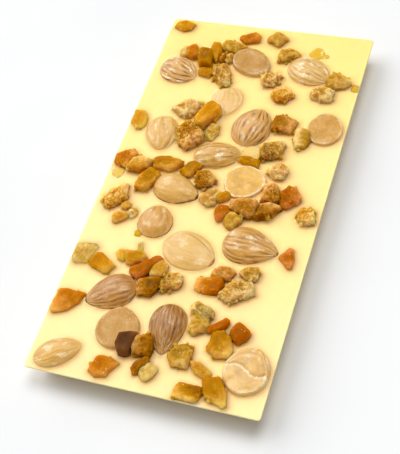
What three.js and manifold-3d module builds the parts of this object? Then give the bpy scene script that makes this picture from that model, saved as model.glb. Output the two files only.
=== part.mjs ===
// White chocolate bar: a moulded slab with almonds and candied fruit set into its open upper face.
// Millimetres, +Z up. The origin is the middle of the underside, +X runs across the bar and +Y along it.

import * as THREE from "three";
import { mergeVertices } from "three/addons/utils/BufferGeometryUtils.js";
import Module from "manifold-3d";

const wasm = await Module();
wasm.setup();

// Slab
const SLAB_LENGTH = 155;
const SLAB_WIDTH = 79;
const SLAB_THICKNESS = 8;
const SLAB_CORNER = 1; // radius of the open face's corners
const SLAB_EDGE = 0.6; // rounding where the faces meet
const SLAB_LEAN = 30; // degrees by which the moulded sides lean in towards the underside
const CORNER_STEPS = 4;
const EDGE_STEPS = 2;

// Fit of the toppings
const CLEARANCE = 0.3; // air between a topping and the chocolate, or between two toppings

// Almond form
const ALMOND_SUNK = 3.4; // depth of an almond below the chocolate's surface
const ALMOND_SIDES = 16; // also twice the number of ridges round a ridged almond
const ALMOND_RINGS = 6;
const BLUNT_POWER = 0.5; // how round the blunt end is
const POINT_POWER = 0.62; // how pointed the usual tip is
const RIDGE_DEPTH = 0.045; // ridge height as a share of the almond's section
const SPLIT_STEEPNESS = 3; // how quickly a split almond's shoulder reaches its flat face

// Fruit form
const FRUIT_SUNK = 1.6; // depth of a piece of fruit below the chocolate's surface
const FRUIT_BEVEL = 0.8; // softening of a piece's cut edges
const BEVEL_SHARE = 0.2; // most that the softening takes of a piece's height or width
const FRUIT_TAPER = 0.12; // share by which a piece narrows from its foot to its top
const FRUIT_SLOPE = 0.14; // steepest slope of a piece's top

// Seeded draws
const SEED_STEP = 7919;
const DRAW_FACTOR = 16807;
const DRAW_RANGE = 2147483647;

// Almonds: place of the middle, sizes, height above the chocolate, direction of the tip in degrees, and how
// pointed it is where it isn't the usual one
const ALMONDS = [
  { kind: "ridged", at: [-29, 50.8], length: 15.5, width: 12, rise: 3, turn: -17 },
  { kind: "split", at: [-2.2, 58.5], length: 16.5, width: 12, rise: 2, turn: -27 },
  { kind: "smooth", at: [-6.3, 39.2], length: 13.8, width: 12, rise: 1.8, turn: -80 },
  { kind: "ridged", at: [19.9, 57.9], length: 17.2, width: 12.6, rise: 3, turn: -22 },
  { kind: "split", at: [31.9, 32.7], length: 14.6, width: 12.8, rise: 1.5, turn: 100 },
  { kind: "smooth", at: [-25.6, 20.9], length: 15.6, width: 12.6, rise: 3, turn: -76 },
  { kind: "ridged", at: [-2.3, 14.7], length: 17.6, width: 11, rise: 3.4, turn: 12 },
  { kind: "smooth", at: [-12.1, -2.3], length: 17.6, width: 12.2, rise: 4, turn: -12, point: 0.72 },
  { kind: "ridged", at: [6.3, 29.2], length: 17.6, width: 14, rise: 3.6, turn: 80 },
  { kind: "split", at: [10.8, 5.2], length: 15, width: 14.2, rise: 1.4, turn: 10 },
  { kind: "smooth", at: [-15.2, -16.3], length: 13.6, width: 12.6, rise: 3, turn: 95 },
  { kind: "smooth", at: [0.2, -25.5], length: 19.8, width: 14.6, rise: 2.6, turn: -17 },
  { kind: "ridged", at: [20, -19.8], length: 19.8, width: 14.2, rise: 3.8, turn: -5, point: 0.85 },
  { kind: "ridged", at: [-20.6, -46.2], length: 18, width: 12.8, rise: 3.2, turn: 212, point: 0.75 },
  { kind: "split", at: [-13.5, -57.9], length: 15.4, width: 14.8, rise: 1.8, turn: 100 },
  { kind: "smooth", at: [-30, -70.4], length: 16.4, width: 9.8, rise: 3, turn: 32 },
  { kind: "ridged", at: [2.2, -55], length: 18.6, width: 12.4, rise: 3.4, turn: -83, point: 0.8 },
  { kind: "split", at: [31.4, -63.2], length: 16.4, width: 14.8, rise: 2.2, turn: 78 },
];

// Larger pieces of candied fruit: height above the chocolate, depth where it isn't the usual one, and the
// corners of the outline seen from above
const FRUIT = [
  { finish: "olive", rise: 2.2, corners: [[-13, 62.4], [-9.4, 62.5], [-5.9, 64.5], [-6, 66.2], [-12, 67.5],
    [-14.7, 67.1], [-16.2, 63.6]] },
  { finish: "brown", rise: 3.2, corners: [[-21.4, 54.2], [-17.4, 54.4], [-17.8, 58.6], [-19.4, 61.7],
    [-23.3, 61.2], [-22.7, 56.5]] },
  { finish: "sugared", rise: 2.6, corners: [[-15.7, 52.8], [-14.8, 48.9], [-10.6, 45.4], [-7.1, 46.6],
    [-8.8, 52.2], [-10.7, 55.6], [-14.9, 54.7]] },
  { finish: "olive", rise: 2.4, corners: [[9.6, 60.8], [15.1, 63.9], [14.7, 65.7], [10.7, 67], [7.8, 65.7],
    [6.8, 63.4], [7.8, 61.1]] },
  { finish: "sugared", rise: 2.6, corners: [[4.7, 53.6], [3.5, 51.5], [5.2, 48.1], [7.5, 48.2],
    [9.6, 50.1], [11.3, 53.7], [8.5, 55]] },
  { finish: "olive", rise: 2.6, corners: [[31.1, 51], [34.9, 52.5], [36.5, 54.5], [32.8, 56.9],
    [29.2, 57.7], [27, 54.1], [28.3, 50.9]] },
  { finish: "sugared", rise: 2.4, corners: [[29.3, 44.4], [31.2, 45.3], [31.5, 49.7], [26.9, 50.6],
    [24.2, 50.1], [23, 48.2], [24.1, 45.4]] },
  { finish: "orange", rise: 2.4, corners: [[11.4, 41.8], [14, 41.7], [17.6, 45.2], [14.4, 48.5],
    [11.2, 47.7], [9.4, 46.4], [9.2, 44]] },
  { finish: "gold", rise: 1.2, sunk: 1, corners: [[-36, 21], [-33.9, 21.5], [-32.8, 23.5], [-33.4, 26.7],
    [-35.1, 29.2], [-38.6, 29], [-38.5, 23.8]] },
  { finish: "sugared", rise: 2.8, corners: [[-15.7, 31.2], [-14, 36.3], [-17.2, 36.9], [-21.2, 36.2],
    [-25.1, 32.2], [-21.7, 29.2], [-18.7, 29.3]] },
  { finish: "gold", rise: 4, corners: [[-10.7, 25.1], [-6.2, 32.3], [-6.5, 35.1], [-10.2, 37], [-12.3, 36],
    [-14.8, 27.6], [-12.7, 24.1]] },
  { finish: "brown", rise: 3.2, corners: [[-17.7, 16.1], [-14.2, 14.4], [-9.2, 20], [-10.4, 23.4],
    [-13.9, 26.8], [-18.2, 26.6], [-20.2, 22.6]] },
  { finish: "orange", rise: 2.4, corners: [[-32.2, 11], [-35, 10.3], [-38.3, 8.1], [-38.3, 5.9],
    [-38, 4.4], [-32.3, 2.9], [-30.6, 9.4]] },
  { finish: "russet", rise: 3.2, corners: [[-32.5, 2.5], [-26.4, 1.9], [-24.8, 3.8], [-24.4, 6.9],
    [-25.5, 7.9], [-29.4, 8.2], [-32, 7]] },
  { finish: "gold", rise: 2.4, corners: [[-17.2, 4.6], [-12.6, 8], [-13.8, 9.1], [-18.8, 10.2],
    [-24.1, 9.3], [-24.9, 6.8], [-23.2, 4.9]] },
  { finish: "gold", rise: 2.2, corners: [[-11.4, 9.3], [-13.5, 5.7], [-11, 3.7], [-8.6, 3.9], [-7, 6.5],
    [-5.9, 9.1], [-9.1, 10.3]] },
  { finish: "brown", rise: 2.8, corners: [[-6.1, 0.8], [-4.7, -0.5], [-2.4, -0.1], [-0.3, 1.6], [0.8, 3.9],
    [-3, 7.3], [-6.7, 5.6]] },
  { finish: "gold", rise: 2.6, corners: [[-26.7, -5.2], [-23, -5.4], [-19.7, -1.2], [-19.4, 2],
    [-20.4, 3.5], [-23.4, 4.3], [-26.3, 1.2]] },
  { finish: "brown", rise: 2.6, corners: [[13.6, 34.5], [13.1, 30.5], [13.4, 28.7], [20, 28], [21, 28.9],
    [21.8, 33.9], [16, 35.7]] },
  { finish: "olive", rise: 2.2, corners: [[23.8, 22.4], [27, 22.4], [28.7, 27], [28.2, 29.8], [25, 30.7],
    [22.5, 30], [22.7, 25.4]] },
  { finish: "sugared", rise: 3, corners: [[12.5, 21.5], [12.8, 16.1], [14.1, 15.1], [20, 17.5],
    [20.2, 23.7], [17.4, 23.4]] },
  { finish: "russet", rise: 3.2, corners: [[19.9, 5.6], [18.5, 4.8], [18.4, 1.2], [18.7, -2], [23.3, -2],
    [24.6, -0.8], [22.8, 4.9]] },
  { finish: "russet", rise: 2.6, corners: [[25.4, -2.9], [27.8, -2.9], [30.7, -0.5], [31.5, 2], [29, 5.1],
    [26.5, 5.6], [23.9, 2.4]] },
  { finish: "orange", rise: 2.4, corners: [[-35.2, -14.1], [-33, -15], [-28.1, -9.6], [-29.4, -3.7],
    [-32, -4.8], [-34.6, -7.2], [-36.6, -11.2]] },
  { finish: "russet", rise: 2.6, corners: [[-10.8, -30.9], [-17.3, -36.8], [-15.7, -38.8], [-13.4, -40],
    [-11.4, -38.7], [-7, -30.6], [-9, -29.7]] },
  { finish: "orange", rise: 2, corners: [[-30.3, -38.3], [-25.7, -39.8], [-24.1, -39.6], [-22.6, -36.3],
    [-28.5, -32.7], [-30.5, -32.9], [-32.2, -37]] },
  { finish: "brown", rise: 2.6, corners: [[-7, -45.1], [-4.6, -40.9], [-5.9, -38.1], [-9, -38.4],
    [-12.3, -39.8], [-12.5, -43], [-11.3, -45.1]] },
  { finish: "sugared", rise: 2.6, corners: [[-4.6, -36.7], [-5.3, -40.8], [-3.8, -42.4], [-0.6, -41.1],
    [1.9, -39.2], [1.2, -36.4], [-0.4, -34.8]] },
  { finish: "brown", rise: 3, corners: [[18, -8.3], [18.3, -5.3], [18, -2.7], [12, -2.7], [8.7, -3.8],
    [8.5, -7.2], [16.1, -9.4]] },
  { finish: "brown", rise: 2.8, corners: [[18.2, -3.5], [17.1, -8.9], [19, -9.1], [21.9, -8.2],
    [25.1, -5.4], [25.8, -3.2], [22.5, -2.3]] },
  { finish: "sugared", rise: 1.8, corners: [[33.6, -7.8], [36, -7.9], [38.3, -6.8], [37, -1.9], [34.7, -1],
    [32.2, -2], [31.5, -4.5]] },
  { finish: "orange", rise: 2, corners: [[8.2, -39.9], [12.1, -40], [15, -39.4], [15.8, -36.3],
    [14.9, -33.7], [6.3, -34.7], [6, -39]] },
  { finish: "sugared", rise: 2.6, corners: [[15.1, -39.5], [17.4, -41.7], [20, -41.6], [26.8, -37.2],
    [24.7, -33.6], [21.2, -33.2], [16.9, -35.3]] },
  { finish: "dark", rise: 4, corners: [[-10, -66.9], [-8.1, -67.1], [-6.6, -66.4], [-5.6, -58.7],
    [-8.5, -59.2], [-11.4, -60.5], [-11.3, -64.5]] },
  { finish: "orange", rise: 1.4, sunk: 1, corners: [[-37.2, -57.4], [-32.9, -55.6], [-29.6, -52.3],
    [-28.4, -48.2], [-35.2, -48.1], [-37.9, -48.7], [-38.6, -56.3]] },
  { finish: "orange", rise: 1.4, corners: [[-15, -75.8], [-11.4, -75.2], [-8.6, -69.7], [-11.7, -68.6],
    [-15.3, -68.4], [-16.9, -69.5], [-17.9, -74.4]] },
  { finish: "olive", rise: 3, corners: [[-5.3, -66.4], [0.2, -65.5], [0.7, -63.2], [-0.5, -59.8],
    [-2.2, -58.3], [-6.3, -60.1], [-6.4, -64]] },
  { finish: "gold", rise: 2.4, corners: [[16.9, -58.8], [20.2, -61.4], [24.8, -60.6], [25.2, -58],
    [23.6, -53.6], [20.8, -51.6], [17.5, -53.2]] },
  { finish: "olive", rise: 2.2, corners: [[12.9, -66.7], [13.1, -60.4], [12.4, -58.8], [8.5, -59.4],
    [6.4, -61.1], [5.5, -63.9], [7.7, -66.8]] },
  { finish: "gold", rise: 1.8, sunk: 0.8, corners: [[20.1, -73.1], [21.5, -74.7], [27.3, -76.7],
    [28.6, -75.7], [27.4, -71.2], [24, -67], [18.7, -68.7]] },
  { finish: "orange", rise: 1.6, sunk: 0.8, corners: [[16.8, -76.7], [19.1, -76.6], [20.5, -73.4],
    [20.2, -71.7], [12.4, -71.7], [11.2, -74], [11, -76.7]] },
];

// Small bits of fruit that are one with the chocolate they stick in, given like the larger pieces
const BITS = [
  { rise: 1.8, corners: [[-36.9, 74.9], [-37.9, 72.3], [-33.6, 70.7], [-30.7, 72], [-29.8, 74.6],
    [-33.9, 76]] },
  { rise: 2, corners: [[-2.3, 69.6], [-2.9, 72.3], [-4.4, 73.3], [-9.3, 71.2], [-10.4, 70.1],
    [-7.8, 67.8]] },
  { rise: 2.2, corners: [[-17.9, 58], [-15.5, 55.9], [-15.4, 63.3], [-17.2, 66.4], [-19.7, 66.4],
    [-19.9, 62.4]] },
  { rise: 2.8, corners: [[-29.1, 61.5], [-27.8, 57.5], [-25.9, 57.1], [-23.6, 57.9], [-24.1, 61.1],
    [-26, 64.1]] },
  { rise: 1.8, corners: [[-28, 58.2], [-28.5, 62.2], [-29.8, 62.5], [-31.3, 60.4], [-30.8, 58.4],
    [-29.7, 57.5]] },
  { rise: 2, corners: [[-16.1, 49.5], [-15.3, 50.6], [-15.6, 52.8], [-20.3, 53], [-21.6, 52],
    [-20.5, 50]] },
  { rise: 2, corners: [[-12.8, 57.7], [-12.8, 60.3], [-14, 61.2], [-15.8, 60.3], [-14.6, 57]] },
  { rise: 2.2, corners: [[-9.7, 58.1], [-9.8, 60.2], [-10.9, 61.5], [-12.9, 60.1], [-12.8, 57.8],
    [-11.3, 56.8]] },
  { rise: 2.6, corners: [[3.8, 68.8], [5.8, 68.6], [8.3, 72.1], [5.6, 74.2], [3.6, 74.5], [0.2, 70.5]] },
  { rise: 0.4, corners: [[19.6, 69.1], [18.5, 66.9], [20, 64.8], [21.6, 65.5], [22.6, 67.2],
    [21.4, 70.2]] },
  { rise: 0.3, corners: [[25, 66.1], [24.9, 67.1], [23.9, 67.1], [22.6, 65.9], [23.1, 65.4]] },
  { rise: 0.5, corners: [[38.8, 51.5], [38.8, 52.7], [38.8, 54.3], [37.3, 54.3], [36.9, 51.9]] },
  { rise: 1.8, corners: [[-9.9, 24.5], [-8.9, 20.1], [-6.7, 20.5], [-4.8, 24], [-5.6, 27.6],
    [-8.4, 27.8]] },
  { rise: 0.4, corners: [[7.8, 16.8], [9.8, 16.5], [12.3, 18.3], [11.1, 21.2], [7.8, 20.8], [5.9, 18.4]] },
  { rise: 1.4, corners: [[7.3, 12.6], [13.8, 11.7], [13.3, 15], [9.3, 16], [6.1, 15.7], [5.5, 13.7]] },
  { rise: 2.8, corners: [[24.5, 12.3], [22.3, 14.2], [19.4, 14.2], [16.5, 10.3], [20.5, 8], [23.3, 8.4]] },
  { rise: 0.4, corners: [[-33.6, 0.8], [-33.2, 3.1], [-35.9, 3.9], [-37.7, 2.2], [-37.7, -0.1],
    [-34.9, -1.3]] },
  { rise: 1.8, corners: [[-28.4, -13.7], [-27.2, -13.7], [-25.8, -12.7], [-26.3, -11.2], [-27.8, -11],
    [-28.9, -12.6]] },
  { rise: 1.2, corners: [[-22.7, -15.5], [-22.7, -13.6], [-24.4, -12.5], [-25.9, -13.6], [-25.9, -15.5],
    [-24.1, -16.9]] },
  { rise: 1.8, corners: [[-25.6, -15.8], [-29.9, -15.6], [-30.8, -17], [-29.9, -19.4], [-28.7, -19.8],
    [-25.1, -16.9]] },
  { rise: 0.5, corners: [[-18.6, -22.9], [-18.5, -22.1], [-19.6, -20.8], [-20.7, -21.1], [-20.4, -23]] },
  { rise: 1.6, corners: [[-21.3, -29.8], [-23.1, -29.8], [-23.8, -31.2], [-22.6, -33.4], [-20.7, -34.1],
    [-20.1, -32.5]] },
  { rise: 0.8, corners: [[-15.9, -28.2], [-16.9, -25.6], [-17.7, -26], [-16.8, -28.9]] },
  { rise: 2.2, corners: [[-21.5, -30.3], [-19.1, -34.5], [-17.2, -34.7], [-13.8, -33], [-12.6, -30.9],
    [-15.3, -28.9]] },
  { rise: 2.2, corners: [[-5.5, -37.3], [-4.5, -34.7], [-4.9, -32.5], [-6.9, -31.3], [-10.1, -33.9],
    [-9.6, -38.1]] },
  { rise: 1, corners: [[-32.9, -37.3], [-30.6, -30.2], [-32.2, -28.8], [-38.8, -30], [-38.8, -35.8],
    [-37.7, -37.9]] },
  { rise: 2.2, corners: [[3.4, -1.3], [2, -0.1], [-0.7, -1.2], [-2.7, -4.7], [0.4, -6.6], [2.5, -6.2]] },
  { rise: 2, corners: [[5, -4], [7.1, -2.4], [7.1, -0.8], [5.9, -0.2], [2.9, -2.7], [3.3, -4.3]] },
  { rise: 2.4, corners: [[6, -12.1], [9.3, -9.3], [9.1, -7.2], [7.4, -6.3], [4.7, -6.8], [4.3, -9.3]] },
  { rise: 2.2, corners: [[12.5, -14.4], [14.7, -9.8], [10.5, -8.2], [8.4, -9.5], [8.1, -12.5],
    [10, -14.5]] },
  { rise: 1.6, corners: [[33.9, -25.5], [35.1, -25.3], [35.1, -21.8], [33.9, -18], [32.7, -17.9],
    [30.1, -21.7]] },
  { rise: 2.2, corners: [[18.1, -30.6], [15.8, -29.1], [12.7, -29.3], [10.7, -30.7], [10.3, -33.3],
    [17.2, -34.4]] },
  { rise: 2.6, corners: [[23.5, -33.2], [25.6, -31.8], [26, -28.9], [24.8, -27.3], [20.1, -28.8],
    [19.3, -31.1]] },
  { rise: 2, corners: [[0.1, -65.5], [-3.5, -67.8], [-4.3, -70.6], [-3.2, -72.3], [-2, -71.9],
    [0.7, -66.6]] },
  { rise: 1.8, corners: [[1.6, -73.5], [3.4, -71.7], [3.9, -68.9], [0.6, -66.9], [-2.1, -70.8],
    [-0.6, -72.9]] },
  { rise: 2.8, corners: [[14.3, -49.2], [15.7, -47.9], [15, -46], [9.8, -43.8], [7.8, -45], [8.2, -47.9]] },
  { rise: 2.4, corners: [[11.1, -55.3], [15.7, -52.2], [14.9, -49], [12.5, -47.1], [9.6, -47.5],
    [9, -53.9]] },
  { rise: 2.4, corners: [[20.2, -51.1], [21.5, -48.4], [20.5, -47.7], [15.8, -51.6], [15.2, -53.1],
    [17.4, -52.9]] },
  { rise: 2.6, corners: [[26.2, -55.2], [28.2, -53.5], [29.2, -50.7], [24.2, -47.6], [22.2, -51.9],
    [24.6, -54.6]] },
  { rise: 1.6, corners: [[16.1, -63.7], [13.2, -64.1], [15, -67], [18.1, -68.3], [20.4, -68.3],
    [21.2, -66.7]] },
];

// Finishes
const FINISHES = {
  chocolate: { color: "#fdf3a2", roughness: 0.42 },
  ridged: { color: "#cf9c60", roughness: 0.4 },
  smooth: { color: "#eebd78", roughness: 0.4 },
  split: { color: "#dba45c", roughness: 0.45 },
  orange: { color: "#cf7f10", roughness: 0.3 },
  gold: { color: "#d19a1a", roughness: 0.3 },
  olive: { color: "#bd9132", roughness: 0.32 },
  sugared: { color: "#d2a45c", roughness: 0.6 },
  brown: { color: "#a96d1e", roughness: 0.35 },
  russet: { color: "#b0600f", roughness: 0.32 },
  dark: { color: "#4f3123", roughness: 0.4 },
};

function finish(name) {
  return new THREE.MeshStandardMaterial({ ...FINISHES[name], metalness: 0 });
}

// A row of draws between 0 and 1 that is the same each time for one seed
function seededRandom(seed) {
  let state = seed * SEED_STEP;
  return () => {
    state = (state * DRAW_FACTOR) % DRAW_RANGE;
    return state / DRAW_RANGE;
  };
}

// A draw between -1 and 1
function drift(random) {
  return 2 * random() - 1;
}

// Moves every vertex of a geometry by a function of its place
function reshape(geometry, move) {
  const position = geometry.attributes.position;
  const point = new THREE.Vector3();
  for (let i = 0; i < position.count; i += 1) {
    move(point.fromBufferAttribute(position, i));
    position.setXYZ(i, point.x, point.y, point.z);
  }
  return geometry;
}

// Turns a closed geometry into a solid, after moving it by a matrix
function solidOf(geometry, matrix = new THREE.Matrix4()) {
  const bare = geometry.clone().applyMatrix4(matrix);
  bare.deleteAttribute("normal");
  bare.deleteAttribute("uv");
  const merged = mergeVertices(bare);
  const corners = merged.index.array;
  const triangles = [];
  for (let i = 0; i < corners.length; i += 3) {
    const [a, b, c] = corners.slice(i, i + 3);
    if (a !== b && b !== c && c !== a) {
      triangles.push(a, b, c);
    }
  }
  const mesh = new wasm.Mesh({
    numProp: 3,
    vertProperties: new Float32Array(merged.attributes.position.array),
    triVerts: new Uint32Array(triangles),
  });
  return new wasm.Manifold(mesh);
}

// The geometry of a solid's largest body, so that a scrap left by a cut is dropped
function geometryOf(solid) {
  const bodies = solid.decompose();
  const largest = bodies.reduce((best, body) => (body.volume() > best.volume() ? body : best));
  const mesh = largest.getMesh();
  const geometry = new THREE.BufferGeometry();
  geometry.setAttribute("position", new THREE.BufferAttribute(new Float32Array(mesh.vertProperties), 3));
  geometry.setIndex(new THREE.BufferAttribute(new Uint32Array(mesh.triVerts), 1));
  geometry.computeVertexNormals();
  return geometry;
}

// A rounded rectangle, drawn clear of the rounding that the extrusion adds round it
function slabOutline() {
  const halfWidth = SLAB_WIDTH / 2 - SLAB_EDGE;
  const halfLength = SLAB_LENGTH / 2 - SLAB_EDGE;
  const radius = SLAB_CORNER - SLAB_EDGE;
  const outline = new THREE.Shape();
  outline.absarc(halfWidth - radius, halfLength - radius, radius, 0, Math.PI / 2);
  outline.absarc(radius - halfWidth, halfLength - radius, radius, Math.PI / 2, Math.PI);
  outline.absarc(radius - halfWidth, radius - halfLength, radius, Math.PI, 1.5 * Math.PI);
  outline.absarc(halfWidth - radius, radius - halfLength, radius, 1.5 * Math.PI, 2 * Math.PI);
  return outline;
}

// The slab before anything is set in it, narrowing from the open face to the underside
function slabGeometry() {
  const geometry = new THREE.ExtrudeGeometry(slabOutline(), {
    depth: SLAB_THICKNESS - 2 * SLAB_EDGE,
    bevelThickness: SLAB_EDGE,
    bevelSize: SLAB_EDGE,
    bevelSegments: EDGE_STEPS,
    curveSegments: CORNER_STEPS,
  });
  geometry.translate(0, 0, SLAB_EDGE);
  const lean = Math.tan(THREE.MathUtils.degToRad(SLAB_LEAN));
  return reshape(geometry, (point) => {
    const inset = lean * Math.max(0, SLAB_THICKNESS - SLAB_EDGE - point.z);
    point.x *= 1 - (2 * inset) / SLAB_WIDTH;
    point.y *= 1 - (2 * inset) / SLAB_LENGTH;
  });
}

// Half width of an almond at a share of its length from the blunt end, before it is scaled to 1
function almondSwell(share, point) {
  return share ** BLUNT_POWER * (1 - share) ** point;
}

// An almond along +X with its widest level on the chocolate's surface, at z = 0
function almondGeometry({ kind, length, width, rise, point = POINT_POWER }) {
  const widest = almondSwell(BLUNT_POWER / (BLUNT_POWER + point), point);
  const profile = [];
  for (let ring = 0; ring <= ALMOND_RINGS; ring += 1) {
    const share = (1 - Math.cos((Math.PI * ring) / ALMOND_RINGS)) / 2;
    const atEnd = ring === 0 || ring === ALMOND_RINGS;
    profile.push(new THREE.Vector2(atEnd ? 0 : almondSwell(share, point) / widest, share - 0.5));
  }
  const geometry = new THREE.LatheGeometry(profile, ALMOND_SIDES);
  geometry.rotateZ(-Math.PI / 2);
  const ridge = kind === "ridged" ? RIDGE_DEPTH : 0;
  return reshape(geometry, (spot) => {
    const around = Math.atan2(spot.z, spot.y);
    const swell = 1 + ridge * Math.cos((ALMOND_SIDES / 2) * around);
    const level = kind === "split" ? Math.min(1, SPLIT_STEEPNESS * spot.z) : spot.z;
    spot.x *= length;
    spot.y *= (width / 2) * swell;
    spot.z = swell * (spot.z > 0 ? rise * level : ALMOND_SUNK * spot.z);
  });
}

// The middle of a piece's corners, where it is set into the chocolate
function middleOf(corners) {
  const middle = new THREE.Vector2();
  for (const [x, y] of corners) {
    middle.x += x / corners.length;
    middle.y += y / corners.length;
  }
  return middle;
}

// The shortest way from the middle of an outline to one of its sides
function reachToSide(outline) {
  const reaches = outline.map((corner, index) => {
    const next = outline[(index + 1) % outline.length];
    return Math.abs(corner.cross(next)) / corner.distanceTo(next);
  });
  return Math.min(...reaches);
}

// A cut piece of fruit round its middle, with the chocolate's surface at z = 0 and its top sloping a little
function fruitGeometry({ rise, sunk = FRUIT_SUNK, corners }, random) {
  const middle = middleOf(corners);
  const outline = corners.map(([x, y]) => new THREE.Vector2(x, y).sub(middle));
  const height = rise + sunk;
  const bevel = Math.min(FRUIT_BEVEL, BEVEL_SHARE * height, BEVEL_SHARE * 2 * reachToSide(outline));
  const geometry = new THREE.ExtrudeGeometry(new THREE.Shape(outline), {
    depth: height - 2 * bevel,
    bevelThickness: bevel,
    bevelSize: bevel,
    bevelOffset: -bevel,
    bevelSegments: 1,
  });
  geometry.translate(0, 0, bevel - sunk);
  const slopeAlong = FRUIT_SLOPE * drift(random);
  const slopeAcross = FRUIT_SLOPE * drift(random);
  return reshape(geometry, (point) => {
    const share = (point.z + sunk) / height;
    const narrowing = 1 - FRUIT_TAPER * share;
    point.x *= narrowing;
    point.y *= narrowing;
    point.z += Math.max(0, point.z / rise) * (slopeAlong * point.x + slopeAcross * point.y);
  });
}

// A copy of a topping's geometry that is larger by the clearance all round
function grown(geometry) {
  geometry.computeBoundingBox();
  const { min, max } = geometry.boundingBox;
  const widen = (value, low, high) => value * (1 + (2 * CLEARANCE) / (high - low));
  return reshape(geometry.clone(), (point) => {
    point.x = widen(point.x, min.x, max.x);
    point.y = widen(point.y, min.y, max.y);
    point.z *= 1 + CLEARANCE / Math.abs(point.z > 0 ? max.z : min.z);
  });
}

// A named mesh set into the chocolate's surface, with the space that it needs there
function topping(name, finishName, geometry, [x, y], turn = 0) {
  const mesh = new THREE.Mesh(geometry, finish(finishName));
  mesh.name = name;
  mesh.position.set(x, y, SLAB_THICKNESS);
  mesh.rotation.z = THREE.MathUtils.degToRad(turn);
  mesh.updateMatrixWorld();
  geometry.computeBoundingSphere();
  return { mesh, space: grown(geometry), reach: geometry.boundingSphere.radius + CLEARANCE };
}

function near(piece, other) {
  return piece.mesh.position.distanceTo(other.mesh.position) < piece.reach + other.reach;
}

// Cuts a piece back from the spaces of the neighbours that it lies against
function cutBack(piece, neighbours) {
  const toPiece = piece.mesh.matrixWorld.clone().invert();
  let solid = solidOf(piece.mesh.geometry);
  for (const neighbour of neighbours.filter((other) => near(piece, other))) {
    const intoPiece = toPiece.clone().multiply(neighbour.mesh.matrixWorld);
    solid = solid.subtract(solidOf(neighbour.space, intoPiece));
  }
  piece.mesh.geometry = geometryOf(solid);
}

function buildAlmonds() {
  return ALMONDS.map((almond, index) => {
    const name = `almond_${almond.kind}_${String(index + 1).padStart(2, "0")}`;
    const piece = topping(name, almond.kind, almondGeometry(almond), almond.at, almond.turn);
    cutBack(piece, []);
    return piece;
  });
}

// Fruit is fitted round the almonds, and each piece round the fruit that stands higher than it does
function buildFruit(almonds) {
  const pieces = FRUIT.map((row, index) => {
    const name = `fruit_${row.finish}_${String(index + 1).padStart(2, "0")}`;
    const geometry = fruitGeometry(row, seededRandom(index + 1));
    return topping(name, row.finish, geometry, middleOf(row.corners).toArray());
  });
  const order = pieces.map((piece, index) => index).sort((a, b) => FRUIT[b].rise - FRUIT[a].rise);
  order.forEach((index, rank) => {
    const higher = order.slice(0, rank).map((other) => pieces[other]);
    cutBack(pieces[index], [...almonds, ...higher]);
  });
  return pieces;
}

// The slab with its small bits of fruit, and a hollow for each topping set into it
function buildSlab(toppings) {
  let solid = solidOf(slabGeometry());
  BITS.forEach((row, index) => {
    const geometry = fruitGeometry(row, seededRandom(FRUIT.length + index + 1));
    const place = new THREE.Matrix4().makeTranslation(...middleOf(row.corners), SLAB_THICKNESS);
    solid = solid.add(solidOf(geometry, place));
  });
  for (const { space, mesh } of toppings) {
    solid = solid.subtract(solidOf(space, mesh.matrixWorld));
  }
  const slab = new THREE.Mesh(geometryOf(solid), finish("chocolate"));
  slab.name = "chocolate_slab";
  return slab;
}

const almonds = buildAlmonds();
const fruit = buildFruit(almonds);
const toppings = [...almonds, ...fruit];

const bar = new THREE.Group();
bar.add(buildSlab(toppings), ...toppings.map((piece) => piece.mesh));

export default bar;
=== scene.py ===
"""White chocolate bar with almonds and candied fruit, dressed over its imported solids.

Shapes are worked out in millimetres in the bar's own frame and turned to metres when a piece is finished.
"""

import logging
import math
import random
from bisect import bisect
from collections.abc import Iterable
from dataclasses import dataclass, replace
from enum import Enum
from functools import cache

import bmesh
import bpy
import numpy as np
from mathutils import Matrix, Quaternion, Vector, noise
from mathutils.bvhtree import BVHTree


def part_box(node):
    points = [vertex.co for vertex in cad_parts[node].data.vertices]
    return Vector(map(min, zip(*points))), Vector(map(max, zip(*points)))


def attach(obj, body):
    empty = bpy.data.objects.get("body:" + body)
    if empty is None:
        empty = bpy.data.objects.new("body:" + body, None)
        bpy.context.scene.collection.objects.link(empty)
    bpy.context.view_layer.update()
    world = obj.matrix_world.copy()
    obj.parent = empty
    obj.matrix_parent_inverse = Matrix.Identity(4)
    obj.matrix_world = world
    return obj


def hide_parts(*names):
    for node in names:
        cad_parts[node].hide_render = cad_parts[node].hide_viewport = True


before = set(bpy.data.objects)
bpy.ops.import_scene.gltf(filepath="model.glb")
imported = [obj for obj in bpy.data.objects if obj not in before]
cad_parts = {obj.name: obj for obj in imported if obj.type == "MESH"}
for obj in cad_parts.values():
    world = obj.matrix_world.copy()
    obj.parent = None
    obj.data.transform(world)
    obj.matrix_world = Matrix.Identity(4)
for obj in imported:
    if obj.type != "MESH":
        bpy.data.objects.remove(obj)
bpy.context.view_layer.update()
LOG = logging.getLogger("chocolate_bar")

MM = 0.001
SURFACE = 8.0  # level of the chocolate's open face above its underside
LEE = (0.75, -0.65, 0.0)  # direction that light takes on its way through a topping, along which light is painted into the toppings' colour
BUMP_START = 0.02  # faces of the slab higher than this above the open face belong to its bits

Colour = tuple[float, float, float, float]
Triple = tuple[float, float, float]
Socket = bpy.types.NodeSocket


def tone(code: str) -> Colour:
    """Turns a screen colour into the linear colour that shaders use.

    Args:
        code: Six hexadecimal digits, red first.

    Returns:
        Linear red, green and blue with full cover.
    """
    parts = [int(code[i : i + 2], 16) / 255 for i in (0, 2, 4)]
    linear = [part / 12.92 if part < 0.04045 else ((part + 0.055) / 1.055) ** 2.4 for part in parts]
    return (*linear, 1.0)


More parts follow.
